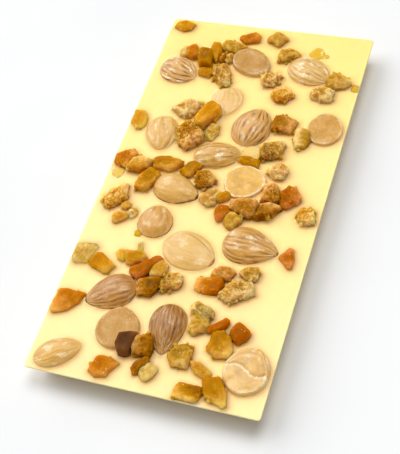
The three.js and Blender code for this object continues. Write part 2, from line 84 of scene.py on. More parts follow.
def ease(low: float, high: float, value: float) -> float:
    """Rises smoothly from 0 at low to 1 at high.

    Args:
        low: Value where the rise starts.
        high: Value where it ends, which may be below low.
        value: Value to place between them.

    Returns:
        A share from 0 to 1.
    """
    share = min(1.0, max(0.0, (value - low) / (high - low)))
    return share * share * (3 - 2 * share)


def peak(offset: float, width: float) -> float:
    """Falls off from 1 at no offset, like a bell of the given width."""
    return math.exp(-((offset / width) ** 2))


def search_tree(meshes: Iterable[bpy.types.Mesh], above: float = -1.0) -> tuple[BVHTree, list[int]]:
    """Makes a search tree of several meshes.

    Args:
        meshes: The meshes, in metres.
        above: Level in millimetres below which faces are left out.

    Returns:
        A tree in millimetres, and the number of faces up to the end of each mesh.
    """
    points: list[Vector] = []
    faces: list[list[int]] = []
    ends: list[int] = []
    for mesh in meshes:
        start = len(points)
        points += [vertex.co / MM for vertex in mesh.vertices]
        faces += [[start + i for i in face.vertices] for face in mesh.polygons if face.center.z / MM > above]
        ends.append(len(faces))
    return BVHTree.FromPolygons(points, faces), ends


def solid_tree(node: str, above: float = -1.0) -> BVHTree:
    """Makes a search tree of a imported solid, from a level in millimetres upwards."""
    return search_tree([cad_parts[node].data], above)[0]


def smooth_out(bm: bmesh.types.BMesh, verts: Iterable[bmesh.types.BMVert]) -> None:
    """Draws points halfway to the middle of their neighbours."""
    bmesh.ops.smooth_vert(bm, verts=verts, factor=0.5, use_axis_x=True, use_axis_y=True, use_axis_z=True)


def add_object(name: str, data: bpy.types.ID) -> bpy.types.Object:
    """Adds an object to the scene.

    Args:
        name: Name of the object.
        data: Its mesh, light or camera.

    Returns:
        The object.
    """
    added = bpy.data.objects.new(name, data)
    bpy.context.scene.collection.objects.link(added)
    return added


def add_mesh(bm: bmesh.types.BMesh, name: str, material: bpy.types.Material) -> bpy.types.Object:
    """Adds a shaped mesh to the scene.

    Args:
        bm: The shape in metres, which is used up.
        name: Name of the object.
        material: Its finish.

    Returns:
        The object.
    """
    mesh = bpy.data.meshes.new(name)
    bm.to_mesh(mesh)
    bm.free()
    mesh.materials.append(material)
    return add_object(name, mesh)


def finish_piece(
    bm: bmesh.types.BMesh, name: str, material: bpy.types.Material, nodes: Iterable[str]
) -> bpy.types.Object:
    """Turns a shaped mesh into a piece of the bar, smooth but for the one large face of the underside.

    Args:
        bm: The shape in millimetres, which is used up.
        name: Name of the piece.
        material: Its finish.
        nodes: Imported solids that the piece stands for.

    Returns:
        The piece, at the origin and riding on the bar.
    """
    for face in bm.faces:
        face.smooth = len(face.verts) <= 4
    bmesh.ops.scale(bm, vec=(MM, MM, MM), verts=bm.verts)
    piece = add_mesh(bm, name, material)
    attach(piece, "root")
    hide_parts(*nodes)
    LOG.info("%s: %d faces", name, len(piece.data.polygons))
    return piece


class Bench:
    """A material under construction, with short calls for the nodes that the finishes share."""

    def __init__(self, name: str) -> None:
        """Starts a material with Object coordinates at hand.

        Args:
            name: Name of the material.
        """
        self.material = bpy.data.materials.new(name)
        self.material.use_nodes = True
        self.nodes = self.material.node_tree.nodes
        self.links = self.material.node_tree.links
        self.skin = self.nodes["Principled BSDF"]
        self.place = self.nodes.new("ShaderNodeTexCoord").outputs["Object"]

    def feed(self, node: bpy.types.Node, key: str | int, value: Socket | float | Colour) -> None:
        """Links or sets one input of a node.

        Args:
            node: The node.
            key: Name or number of its input.
            value: A socket to link, or a constant.
        """
        if isinstance(value, Socket):
            self.links.new(value, node.inputs[key])
        else:
            node.inputs[key].default_value = value

    def attribute(self, name: str, output: str = "Fac") -> Socket:
        """Gives a value that is stored on the mesh.

        Args:
            name: Name of the attribute.
            output: Fac for a number, Vector for a place.

        Returns:
            The attribute's socket.
        """
        node = self.nodes.new("ShaderNodeAttribute")
        node.attribute_name = name
        return node.outputs[output]

    def stretch(self, place: Socket, scale: Triple) -> Socket:
        """Scales a place along its axes, so that a pattern on it is drawn out.

        Args:
            place: The place.
            scale: Factor along each axis.

        Returns:
            The scaled place.
        """
        node = self.nodes.new("ShaderNodeMapping")
        self.feed(node, "Vector", place)
        self.feed(node, "Scale", scale)
        return node.outputs["Vector"]

    def speckle(self, size: float, detail: float = 3.0, place: Socket | None = None) -> Socket:
        """Makes soft random patches.

        Args:
            size: Patch size in millimetres, or in the units of the given place.
            detail: Number of finer layers.
            place: Place to read, if not the piece's own.

        Returns:
            A share round 0.5.
        """
        node = self.nodes.new("ShaderNodeTexNoise")
        self.feed(node, "Vector", place or self.place)
        self.feed(node, "Scale", 1 / size if place else 1 / (size * MM))
        self.feed(node, "Detail", detail)
        return node.outputs["Fac"]

    def cells(self, size: float) -> Socket:
        """Makes grains of about one size.

        Args:
            size: Grain size in millimetres.

        Returns:
            Distance from the middle of the nearest grain.
        """
        node = self.nodes.new("ShaderNodeTexVoronoi")
        self.feed(node, "Vector", self.place)
        self.feed(node, "Scale", 1 / (size * MM))
        return node.outputs["Distance"]

    def axis(self, name: str) -> Socket:
        """Gives one coordinate of a point.

        Args:
            name: Name of the axis.

        Returns:
            The coordinate in metres.
        """
        node = self.nodes.new("ShaderNodeSeparateXYZ")
        self.feed(node, "Vector", self.place)
        return node.outputs[name]

    def leeward(self) -> Socket:
        """Gives how far the surface faces away from the light, to the right and the front.

        Returns:
            A value from -1 to 1.
        """
        geometry = self.nodes.new("ShaderNodeNewGeometry")
        node = self.nodes.new("ShaderNodeVectorMath")
        node.operation = "DOT_PRODUCT"
        self.feed(node, 0, geometry.outputs["Normal"])
        self.feed(node, 1, LEE)
        return node.outputs["Value"]

    def spread(
        self, value: Socket, low: float, high: float, first: float = 0.0, last: float = 1.0
    ) -> Socket:
        """Maps a range of a value onto another range and holds it there.

        Args:
            value: The value.
            low: Value that gives first.
            high: Value that gives last.
            first: Result at low.
            last: Result at high.

        Returns:
            The mapped value.
        """
        node = self.nodes.new("ShaderNodeMapRange")
        for key, entry in zip(range(5), (value, low, high, first, last), strict=True):
            self.feed(node, key, entry)
        return node.outputs["Result"]

    def combine(self, operation: str, first: Socket, second: Socket | float) -> Socket:
        """Does sums on two values.

        Args:
            operation: Name of the sum, such as MULTIPLY.
            first: First value.
            second: Second value.

        Returns:
            The result.
        """
        node = self.nodes.new("ShaderNodeMath")
        node.operation = operation
        self.feed(node, 0, first)
        self.feed(node, 1, second)
        return node.outputs["Value"]

    def blend(self, share: Socket, first: Socket | Colour, second: Socket | Colour) -> Socket:
        """Mixes two colours.

        Args:
            share: Share of the second colour.
            first: First colour.
            second: Second colour.

        Returns:
            The mixed colour.
        """
        node = self.nodes.new("ShaderNodeMix")
        node.data_type = "RGBA"
        self.feed(node, 0, share)
        self.feed(node, 6, first)
        self.feed(node, 7, second)
        return node.outputs[2]

    def paint_light_through(self, colour: Socket, near_side: float, far_side: float) -> Socket:
        """Paints light and shade into a colour: darker on the side that the light comes from, brighter on
        the side where it would come out.

        Args:
            colour: The colour.
            near_side: Factor for its brightness where the light comes from.
            far_side: Factor for its brightness where the light comes out.

        Returns:
            The changed colour.
        """
        node = self.nodes.new("ShaderNodeHueSaturation")
        self.feed(node, "Color", colour)
        self.feed(node, "Value", self.spread(self.leeward(), -0.8, 0.8, near_side, far_side))
        return node.outputs["Color"]

    def film(self, edge: tuple[float, float], levels: tuple[float, float], share: float) -> Socket:
        """Gives the film of chocolate over the foot of a topping, up to a ragged edge.

        Args:
            edge: Size and height of the ripples of its edge in millimetres.
            levels: Millimetres above the open face where it starts to thin out and where it ends.
            share: Its share at the foot.

        Returns:
            The film's share.
        """
        size, height = edge
        ripples = self.spread(self.speckle(size), 0.3, 0.7, -height * MM, height * MM)
        level = self.combine("ADD", self.axis("Z"), ripples)
        low, high = ((SURFACE + end) * MM for end in levels)
        return self.spread(level, low, high, share, 0.0)

    def scale_of_tones(self, value: Socket, codes: Iterable[str]) -> Socket:
        """Reads a colour from a scale of evenly spaced tones.

        Args:
            value: Place on the scale, from 0 to 1.
            codes: Screen colours from first to last.

        Returns:
            The colour.
        """
        node = self.nodes.new("ShaderNodeValToRGB")
        colours = [tone(code) for code in codes]
        stops = node.color_ramp.elements
        while len(stops) < len(colours):
            stops.new(0.5)
        for number, colour in enumerate(colours):
            stops[number].position = number / (len(colours) - 1)
            stops[number].color = colour
        self.feed(node, "Fac", value)
        return node.outputs["Color"]

    def relief(self, height: Socket, depth: float, strength: float, layer: str = "Normal") -> None:
        """Gives the surface a fine relief.

        Args:
            height: Height, from 0 to 1.
            depth: Depth of the relief in millimetres.
            strength: How strongly it shows.
            layer: Normal for the body, Coat Normal for the film on it.
        """
        node = self.nodes.new("ShaderNodeBump")
        self.feed(node, "Height", height)
        self.feed(node, "Distance", depth * MM)
        self.feed(node, "Strength", strength)
        self.feed(self.skin, layer, node.outputs["Normal"])

    def body(self, colour: Socket, roughness: Socket | float, glow: float, depth: Triple) -> None:
        """Sets the skin's colour, gloss and translucence.

        Args:
            colour: The colour.
            roughness: The roughness.
            glow: Share of light that goes in and comes out again.
            depth: How far red, green and blue go in, in millimetres.
        """
        self.feed(self.skin, "Base Color", colour)
        self.feed(self.skin, "Roughness", roughness)
        self.feed(self.skin, "Subsurface Weight", glow)
        self.feed(self.skin, "Subsurface Radius", depth)
        self.feed(self.skin, "Subsurface Scale", MM)


@dataclass(frozen=True)
class ChocolateFinish:
    """Satin white chocolate with a painted warm shade close to the toppings, and paler in a small nick.

    Its tone changes from the far end to the paler near end, a painted sheen, over a span to both sides of
    the middle. Sizes are in millimetres.
    """

    far: str = "fed97e"
    near: str = "ffe0a0"
    warm: str = "c99a40"
    nick_tone: str = "fff8e0"
    span: float = 80.0
    patch_size: float = 24.0
    patch_drift: float = 15.0
    roughness: float = 0.4
    specular: float = 0.4
    glow: float = 1.0
    light_depth: Triple = (0.8, 1.4, 2.3)
    dimple_size: float = 3.5
    dimple_depth: float = 0.12

    @cache
    def dress(self) -> bpy.types.Material:
        """Builds the material.

        Returns:
            The material, the same one at each call.
        """
        bench = Bench("white_chocolate")
        drift = self.patch_drift * MM
        patches = bench.spread(bench.speckle(self.patch_size, 2), 0.35, 0.65, -drift, drift)
        place = bench.combine("ADD", bench.axis("Y"), patches)
        along = bench.spread(place, self.span * MM, -self.span * MM)
        # painted sheen: the near tone is paler than the far one
        open_face = bench.blend(along, tone(self.far), tone(self.near))
        # painted warm shade round the toppings
        colour = bench.blend(bench.attribute("warmth"), open_face, tone(self.warm))
        # paler in the nick out of the front edge
        colour = bench.blend(bench.attribute("nick"), colour, tone(self.nick_tone))
        gloss = bench.spread(bench.speckle(5), 0.3, 0.7, self.roughness - 0.05, self.roughness + 0.08)
        bench.body(colour, gloss, self.glow, self.light_depth)
        bench.feed(bench.skin, "Specular IOR Level", self.specular)
        bench.relief(bench.speckle(self.dimple_size, 4), self.dimple_depth, 0.25)
        return bench.material


CHOCOLATE = ChocolateFinish()


@dataclass(frozen=True)
class AlmondFinish:
    """Almond skin with streaks along its length, painted shade in its furrows, charred tips, a painted
    shadow where it sits, cream smears, painted highlights and a gloss.

    Sizes and levels are in millimetres. A film of chocolate covers its foot, and painted light makes the
    skin darker on the side that the light comes from and brighter on the far side, where the light would
    shine through.
    """

    name: str
    body: str
    shade: str
    furrow: str
    cream_and_highlight: str = "f6e7c1"
    char_and_shadow: str = "4a3214"
    film_tone: str = "ffd690"
    film_share: float = 0.6
    film_edge: tuple[float, float] = (1.6, 0.3)
    film_levels: tuple[float, float] = (0.2, 1.8)
    streak_shape: Triple = (0.2, 1.2, 1.0)
    patch_size: float = 3.2
    freckle_size: float = 0.55
    near_side: float = 0.7
    far_side: float = 1.22
    roughness: float = 0.34
    gloss: float = 0.3
    coat_roughness: float = 0.2
    glow: float = 0.3
    light_depth: Triple = (2.4, 1.5, 0.6)

    @cache
    def dress(self) -> bpy.types.Material:
        """Builds the material.

        Returns:
            The material, the same one at each call.
        """
        bench = Bench(f"almond_{self.name}")
        grain = bench.attribute("grain", "Vector")
        streaks = bench.speckle(1.0, 4, bench.stretch(grain, self.streak_shape))
        patches = bench.speckle(self.patch_size, 4)
        freckles = bench.speckle(self.freckle_size, 3)
        fibres = bench.combine("MULTIPLY", bench.spread(streaks, 0.4, 0.62), bench.attribute("fibre"))
        shading = bench.combine("MAXIMUM", fibres, bench.spread(patches, 0.45, 0.75, 0.0, 0.8))
        colour = bench.blend(shading, tone(self.body), tone(self.shade))
        film = bench.film(self.film_edge, self.film_levels, self.film_share)
        colour = bench.blend(film, colour, tone(self.film_tone))
        # painted shade in the furrows, grooves and cracks, with some darker mottle
        colour = bench.blend(bench.attribute("furrow"), colour, tone(self.furrow))
        # past 1: the charred tip, and the painted shadow along the seat
        colour = bench.blend(bench.spread(bench.attribute("furrow"), 1.0, 2.0), colour, tone(self.char_and_shadow))
        # cream smears, with painted highlights along the crests and round the split faces
        broken = bench.spread(freckles, 0.38, 0.6, 0.3, 1.0)
        smear = bench.combine("MULTIPLY", bench.attribute("smear"), broken)
        # painted highlight specks in the cream tone
        strewn = bench.spread(patches, 0.5, 0.62, 0.0, 0.7)
        glint_dots = bench.combine("MULTIPLY", bench.spread(bench.cells(1.2), 0.2, 0.1), strewn)
        colour = bench.blend(bench.combine("MAXIMUM", smear, glint_dots), colour, tone(self.cream_and_highlight))
        # painted light: darker where the light comes in, brighter where it would come out
        colour = bench.paint_light_through(colour, self.near_side, self.far_side)
        gloss = bench.spread(freckles, 0.3, 0.7, self.roughness - 0.1, self.roughness + 0.1)
        bench.body(colour, gloss, self.glow, self.light_depth)
        bench.feed(bench.skin, "Specular IOR Level", self.gloss)
        bench.feed(bench.skin, "Coat Weight", self.gloss * 0.6)
        bench.feed(bench.skin, "Coat Roughness", self.coat_roughness)
        bench.relief(bench.combine("ADD", streaks, bench.combine("MULTIPLY", freckles, 0.5)), 0.16, 0.45)
        bench.relief(bench.combine("ADD", streaks, freckles), 0.3, 0.9, "Coat Normal")
        return bench.material


class AlmondTone(Enum):
    """The skins that the almonds have."""

    ROASTED = AlmondFinish("roasted", "d6a456", "c69145", "8c5722")
    TAN = AlmondFinish("tan", "d19e4b", "c28c3c", "9b6a2c")
    HONEY = AlmondFinish("honey", "d4a44d", "c7953f", "a27027")
    NUTTY = AlmondFinish("nutty", "be8639", "ad7429", "7b4d18")
    BLANCHED = AlmondFinish("blanched", "dcaf5b", "d2a251", "b17f39")
    PALE = AlmondFinish("pale", "ddb569", "d4a859", "b58641")
    BROWN = AlmondFinish("brown", "b07823", "986119", "6e4210")
    MATT_TAN = AlmondFinish("matt_tan", "c09047", "b3813b", "9b6a30", gloss=0.1)
    MATT_HONEY = AlmondFinish("matt_honey", "c5913b", "ba8430", "a27027", gloss=0.1)
    MATT_BLANCHED = AlmondFinish("matt_blanched", "daaa4d", "d29e43", "b17f39", gloss=0.1)


@dataclass(frozen=True)
class AlmondLook:
    """How one almond differs from the others.

    Ridges and waves are heights in millimetres. The cream smears with the painted highlights on crests, the
    pale rim that is a painted highlight, the crack, the charred tip and the painted shadow at the seat are
    strengths. A seam runs lengthwise at an angle from the top, and an arc crosses a split face at a share of
    its length. The larger the point, the sharper the tip.
    """

    finish: AlmondTone
    ridges: float = 0.0
    ribs: int = 17
    waves: float = 0.12
    smears_and_highlights: float = 0.2
    rim: float = 0.0
    tip: float = 0.0
    crack: float = 0.0
    seat_shadow: float = 0.0
    seam: float = 0.0
    arc: float = 0.0
    point: float = 0.62


ALMOND_LOOKS = {
    "almond_ridged_01": AlmondLook(AlmondTone.ROASTED, ridges=0.5, smears_and_highlights=1.1),
    "almond_split_02": AlmondLook(AlmondTone.MATT_TAN, smears_and_highlights=0.2, rim=0.6, arc=0.84),
    "almond_smooth_03": AlmondLook(AlmondTone.PALE, waves=0.2, smears_and_highlights=0.3),
    "almond_ridged_04": AlmondLook(AlmondTone.PALE, ridges=0.34, smears_and_highlights=1.0),
    "almond_split_05": AlmondLook(AlmondTone.MATT_HONEY, smears_and_highlights=0.2, rim=0.8),
    "almond_smooth_06": AlmondLook(AlmondTone.BLANCHED, waves=0.32, smears_and_highlights=0.45),
    "almond_ridged_07": AlmondLook(AlmondTone.HONEY, ridges=0.32, ribs=13, smears_and_highlights=0.75),
    "almond_smooth_08": AlmondLook(
        AlmondTone.BLANCHED, waves=0.18, smears_and_highlights=0.4, tip=0.9, seat_shadow=0.9, point=0.72
    ),
    "almond_ridged_09": AlmondLook(AlmondTone.ROASTED, ridges=0.55, ribs=19, smears_and_highlights=0.35, seat_shadow=0.3),
    "almond_split_10": AlmondLook(AlmondTone.MATT_BLANCHED, smears_and_highlights=0.2, rim=2.0),
    "almond_smooth_11": AlmondLook(AlmondTone.TAN, waves=0.22, smears_and_highlights=0.45, seat_shadow=0.8),
    "almond_smooth_12": AlmondLook(AlmondTone.PALE, waves=0.16, smears_and_highlights=0.4, tip=0.6, seam=0.85),
    "almond_ridged_13": AlmondLook(
        AlmondTone.TAN, ridges=0.36, ribs=19, smears_and_highlights=0.65, tip=0.5, seat_shadow=0.5, point=0.85
    ),
    "almond_ridged_14": AlmondLook(
        AlmondTone.NUTTY, ridges=0.3, ribs=19, smears_and_highlights=0.28, tip=0.6, seat_shadow=0.5, point=0.75
    ),
    "almond_split_15": AlmondLook(AlmondTone.MATT_TAN, smears_and_highlights=0.1, rim=0.3),
    "almond_smooth_16": AlmondLook(AlmondTone.BLANCHED, waves=0.22, smears_and_highlights=0.7),
    "almond_ridged_17": AlmondLook(AlmondTone.BROWN, ridges=0.3, ribs=25, smears_and_highlights=0.4, seat_shadow=0.3, point=0.8),
    "almond_split_18": AlmondLook(AlmondTone.BLANCHED, smears_and_highlights=0.15, rim=0.7, crack=1.0),
}


@dataclass(frozen=True)
class Footprint:
    """Where an almond lies: middle, direction of its tip, sizes and reach above and below the surface."""

    middle: Vector
    heading: float
    length: float
    width: float
    rise: float
    depth: float

    @classmethod
    def of(cls, node: str) -> "Footprint":
        """Measures a packed almond.

        Args:
            node: Name of the solid.

        Returns:
            Its footprint in millimetres.
        """
        points = np.array([vertex.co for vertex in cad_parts[node].data.vertices]) / MM
        centre = points[:, :2].mean(0)
        axes = np.linalg.svd(points[:, :2] - centre, full_matrices=False)[2]
        along, across = ((points[:, :2] - centre) @ axis for axis in axes)
        middles = [(side.max() + side.min()) / 2 for side in (along, across)]
        blunt = np.sign(((along - middles[0]) * (across - middles[1]) ** 2).sum())
        x, y = centre + middles[0] * axes[0] + middles[1] * axes[1]
        return cls(
            Vector((x, y, SURFACE)),
            math.atan2(-blunt * axes[0][1], -blunt * axes[0][0]),
            float(np.ptp(along)),
            float(np.ptp(across)),
            float(points[:, 2].max() - SURFACE),
            float(SURFACE - points[:, 2].min()),
        )


@dataclass
class Almond:
    """One almond set into the chocolate, with its tip, ridges, smears and cracks."""

    node: str
    look: AlmondLook
    around: int = 180
    along: int = 60
    blunt_power: float = 0.5
    split_steepness: float = 3.0
    split_fibre: float = 0.35
    split_rim: float = 0.34
    tip_zone: tuple[float, float] = (0.94, 0.97)

    @property
    def split(self) -> bool:
        """Tells whether the almond is a half that shows its flat face."""
        return "_split_" in self.node

    @property
    def seed(self) -> float:
        """Gives the number that sets this almond apart from the others."""
        return float(self.node[-2:])

    def swell(self, share: float) -> float:
        """Gives the almond's section.

        Args:
            share: Share of the length from the blunt end.

        Returns:
            A share of the widest section.
        """
        point = self.look.point
        widest = self.blunt_power / (self.blunt_power + point)
        full = widest**self.blunt_power * (1 - widest) ** point
        inside = min(1.0, max(0.0, share))
        return inside**self.blunt_power * (1 - inside) ** point / full

    def ribbing(self, share: float, turn: float) -> tuple[float, float]:
        """Gives the ridges at a point of the skin.

        Args:
            share: Share of the length from the blunt end.
            turn: Angle from the top, round the length.

        Returns:
            How far the point is on a crest and how far in a furrow, from 0 to 1.
        """
        ribs = self.look.ribs
        seed = self.seed
        sway = noise.noise(Vector((turn * 1.4, share * 2.2, seed)))
        quiver = noise.noise(Vector((turn * 4.0, share * 7.0, seed + 5)))
        branch = noise.noise(Vector((turn * ribs / 3, share * 3.0, seed + 13)))
        wave = 0.75 * math.cos(ribs * turn + 4.2 * sway + 1.6 * quiver) + 0.6 * branch
        depth = ease(-0.35, 0.3, noise.noise(Vector((turn * 3.4, share * 6.0, seed + 7))))
        sheen = ease(-0.3, 0.3, noise.noise(Vector((turn * 4.0, share * 8.0, seed + 17))))
        return ease(0.4, 0.9, wave) * sheen, ease(0.0, -0.7, wave) * (0.15 + 0.85 * depth)

    def build(self) -> bpy.types.Object:
        """Shapes the almond and gives it its skin.

        Returns:
            The piece.
        """
        foot = Footprint.of(self.node)
        bm = bmesh.new()
        bmesh.ops.create_uvsphere(bm, u_segments=self.around, v_segments=self.along, radius=1.0)
        bmesh.ops.rotate(bm, verts=bm.verts, matrix=Matrix.Rotation(math.pi / 2, 3, "Y"))
        grain = bm.verts.layers.float_vector.new("grain")
        furrow = bm.verts.layers.float.new("furrow")
        smear = bm.verts.layers.float.new("smear")
        fibre = bm.verts.layers.float.new("fibre")
        spots = {}
        for vertex in bm.verts:
            share = (vertex.co.x + 1) / 2
            turn = math.atan2(vertex.co.y, vertex.co.z)
            section = self.swell(share)
            lift = section * math.cos(turn)
            flat = 1 - (1 - min(1.0, self.split_steepness * lift / 2)) ** 3 if self.split else lift
            level = foot.rise * flat if lift > 0 else foot.depth * lift
            spots[vertex] = (share, turn, lift)
            vertex[fibre] = self.split_fibre if self.split else 1.0
            vertex[grain] = Vector((share * foot.length, turn * foot.width / 2, self.seed * 9))
            across = foot.width / 2 * section * math.sin(turn)
            vertex.co = Vector(((share - 0.5) * foot.length, across, level))
        bm.normal_update()
        for vertex, spot in spots.items():
            self.relieve(vertex, spot, (furrow, smear))
        turned = Matrix.Translation(foot.middle) @ Matrix.Rotation(foot.heading, 4, "Z")
        bmesh.ops.transform(bm, matrix=turned, verts=bm.verts)
        return finish_piece(bm, f"nut_{self.node[-2:]}", self.look.finish.value.dress(), [self.node])

    def crack_open(self, place: Vector, spot: Triple, noises: tuple[float, float]) -> Triple:
        """Cracks the almond across, with a rough face towards its blunt end and rings towards its tip.

        Args:
            place: A point of the skin.
            spot: Its share of the length, its angle from the top and its lift over the surface.
            noises: The waves and the patches there.

        Returns:
            Changes to the point's height, its painted shade and its pale tone.
        """
        share, turn, lift = spot
        wavy, patch = noises
        line = 0.5 + 0.05 * math.sin(4 * turn) + 0.03 * noise.noise(Vector((turn * 6, 0, self.seed)))
        gap = peak(share - line, 0.018)
        behind = ease(line, line + 0.1, share)
        rings = 0.5 + 0.5 * math.cos(26 * lift + 2 * wavy)
        height = -self.look.crack * (0.5 * gap + 0.35 * ease(line, line - 0.06, share))
        height += 0.35 * (1 - behind) * noise.fractal(place / 3.2, 1.0, 2.0, 3)
        height += 0.14 * (rings - 0.5) * behind
        # painted shade in the gap and between the rings
        dark = 0.7 * gap + 0.35 * (1 - rings) * behind
        pale = 0.9 * peak(share - line + 0.03, 0.02) + 0.12 * (1 - behind)
        pale += 0.3 * rings * behind * ease(0.0, 0.5, patch)
        return height, dark, pale

    def relieve(
        self,
        vertex: bmesh.types.BMVert,
        spot: Triple,
        layers: tuple[bmesh.types.BMLayerItem, bmesh.types.BMLayerItem],
    ) -> None:
        """Raises or sinks one point of the skin and paints its furrow and smear.

        Args:
            vertex: The point.
            spot: Its share of the length, its angle from the top and its lift over the surface.
            layers: Where the painted shade of the furrows and the smears with painted highlights are kept.
        """
        share, turn, lift = spot
        look = self.look
        seed = self.seed
        furrow, smear = layers
        shown = ease(-0.1, 0.25, lift) * ease(0.0, 0.12, share) * ease(1.0, 0.9, share)
        crest, dark = self.ribbing(share, turn)
        ridged = min(1.0, look.ridges * 2.5)
        wavy = noise.fractal(Vector((turn * 1.9, share * 2.6, seed + 3)), 1.0, 2.0, 3)
        patch = noise.fractal(Vector((turn * 2.2, share * 4.5, seed + 11)), 1.0, 2.0, 4)
        height = look.waves * wavy + 0.75 * look.ridges * (0.4 * crest - 0.6 * dark)
        # painted shade in the furrows between ridges and in the hollows of the waves
        dark = 0.85 * dark * ridged + 0.2 * ease(0.15, 0.6, -wavy)
        # cream smears in patches, and painted highlights along the crests of the ridges
        pale = look.smears_and_highlights * (ease(0.15, 0.6, patch) + 1.5 * crest * ridged * ease(-0.3, 0.2, patch))
        if self.split:
            mottle = noise.fractal(Vector((vertex.co.x / 5, vertex.co.y / 5, seed)), 1.0, 2.0, 4)
            dark += 0.3 * ease(0.0, 0.5, mottle)
            pale += 0.12 * ease(0.0, 0.5, -mottle)
            # the pale rim is a painted highlight
            pale += look.rim * peak(lift - self.split_rim, 0.1) * ease(-0.45, 0.15, patch)
        # the arc and the seam are grooves with painted shade in them
        if look.arc:
            bend = share - look.arc + 0.3 * (lift * math.tan(turn)) ** 2 if abs(turn) < 1.5 else 1.0
            groove = peak(bend, 0.012)
            height -= 0.12 * groove
            dark += 0.6 * groove
        if look.seam:
            groove = peak(turn - look.seam + 0.2 * share, 0.035) * ease(0.2, 0.4, share)
            height -= 0.2 * groove
            dark += 0.9 * groove
        if look.crack:
            changes = self.crack_open(vertex.co, spot, (wavy, patch))
            height += changes[0]
            dark += changes[1]
            pale += changes[2]
        # painted shadow along the seat, where the almond meets the chocolate, and a charred tip
        char_and_shadow = look.seat_shadow * ease(0.3, 0.16, lift) * ease(0.02, 0.1, lift) * ease(-0.3, 0.2, patch)
        char_and_shadow += look.tip * ease(*self.tip_zone, share) * ease(0.0, 0.06, lift)
        vertex[furrow] = min(1.0, max(0.0, dark)) * shown + 2 * char_and_shadow
        vertex[smear] = max(0.0, pale) * ease(0.0, 0.1, lift)
        vertex.co += vertex.normal * height * shown


@dataclass(frozen=True)
class FruitFinish:
    """Candied fruit with a scale of tones from deep to pale.

    The lumps, wrinkles, grains and pebbles are heights in millimetres, like all sizes. The mottle, grit,
    crest highlights, fringe, sink, facets and through are steps along the scale of tones. Of these, the
    crest highlights are painted highlights, the paler fringe and through are painted light coming through,
    and sink is painted shade towards the foot. The tooth and the sugar are strengths. The crumbs are counted
    for each larger piece. The pale specks are painted glints, the film at the foot is partly chocolate and
    partly a painted glow, and the near and far sides set painted light and shade.
    """

    name: str
    slot: str
    deep: str
    body: str
    pale: str
    roughness: float = 0.3
    lumps: float = 0.3
    wrinkles: float = 0.06
    grains: float = 0.02
    pebbles: float = 0.06
    mottle: float = 0.07
    grit: float = 0.02
    crest_highlights: float = 0.08
    fringe: float = 0.2
    tooth: float = 0.15
    sugar: float = 0.0
    film_share: float = 0.25
    film_edge: tuple[float, float] = (1.2, 0.4)
    film_height: float = 1.0
    sink: float = 0.14
    facets: float = 0.07
    fold_size: float = 1.2
    crumbs: int = 2
    through: float = 0.1
    near_side: float = 0.74
    far_side: float = 1.22
    sink_height: float = 2.6
    patch_size: float = 3.0
    grit_size: float = 0.75
    crystal_size: float = 0.8
    crust_size: float = 2.0
    glint_size: float = 1.3
    tooth_size: float = 0.7
    specular: float = 0.02
    glow: float = 0.9
    light_depth: Triple = (5.0, 3.0, 0.3)
    sugar_tone: str = "f9d36d"
    glint_tone: str = "ffecc4"
    film_tone: str = "eaa43c"

    @cache
    def dress(self) -> bpy.types.Material:
        """Builds the material.

        Returns:
            The material, the same one at each call.
        """
        bench = Bench(f"fruit_{self.name}")
        patches = bench.spread(bench.speckle(self.patch_size, 3), 0.3, 0.7, -self.mottle, self.mottle)
        # painted light: paler where the surface faces away from the light, where it would come out
        through = bench.spread(bench.leeward(), -0.1, 0.9, 0.0, self.through)
        grit = bench.spread(bench.cells(self.grit_size), 0.15, 0.6, self.grit, -self.grit)
        # painted shade: deeper towards the foot
        top = (SURFACE + self.sink_height) * MM
        depth = bench.spread(bench.axis("Z"), SURFACE * MM, top, -self.sink, self.sink / 4)
        place = bench.attribute("shade")
        for step in (patches, through, grit, depth):
            place = bench.combine("ADD", place, step)
        colour = bench.scale_of_tones(place, (self.deep, self.body, self.pale))
        crystals = bench.spread(bench.cells(self.crystal_size), 0.5, 0.15)
        bare = 0.66 - 0.45 * self.sugar
        crust = bench.spread(bench.speckle(self.crust_size, 4), bare, bare + 0.14)
        sugar = bench.combine("MULTIPLY", bench.combine("MULTIPLY", crystals, crust), 0.9 * self.sugar)
        # painted glints: small pale specks strewn in patches
        strewn = bench.spread(bench.speckle(2.2, 4), 0.5, 0.6)
        glint_specks = bench.spread(bench.cells(self.glint_size), 0.16, 0.06, 0.0, 0.8)
        colour = bench.blend(sugar, colour, tone(self.sugar_tone))
        colour = bench.blend(bench.combine("MULTIPLY", glint_specks, strewn), colour, tone(self.glint_tone))
        # film at the foot: partly chocolate, partly a painted glow of light coming through
        film = bench.film(self.film_edge, (0.0, self.film_height), self.film_share)
        colour = bench.blend(film, colour, tone(self.film_tone))
        # painted light: darker where the light comes in, brighter where it would come out
        colour = bench.paint_light_through(colour, self.near_side, self.far_side)
        gloss = bench.spread(crust, 0.0, 1.0, self.roughness, self.roughness + 0.22)
        bench.body(colour, gloss, self.glow, self.light_depth)
        bench.feed(bench.skin, "Specular IOR Level", self.specular)
        raised = bench.combine("MULTIPLY", sugar, 0.8)
        bench.relief(bench.combine("ADD", bench.speckle(self.tooth_size, 4), raised), 0.2, self.tooth)
        return bench.material


CRUMBLY = FruitFinish(
    "toffee",
    "brown",
    "6e4200",
    "a36a02",
    "dfaa64",
    lumps=0.35,
    wrinkles=0.2,
    pebbles=0.12,
    grit=0.04,
    crest_highlights=0.13,
    tooth=0.3,
    sugar=0.15,
    sink=0.22,
    facets=0.1,
    fold_size=2.0,
    crumbs=6,
)


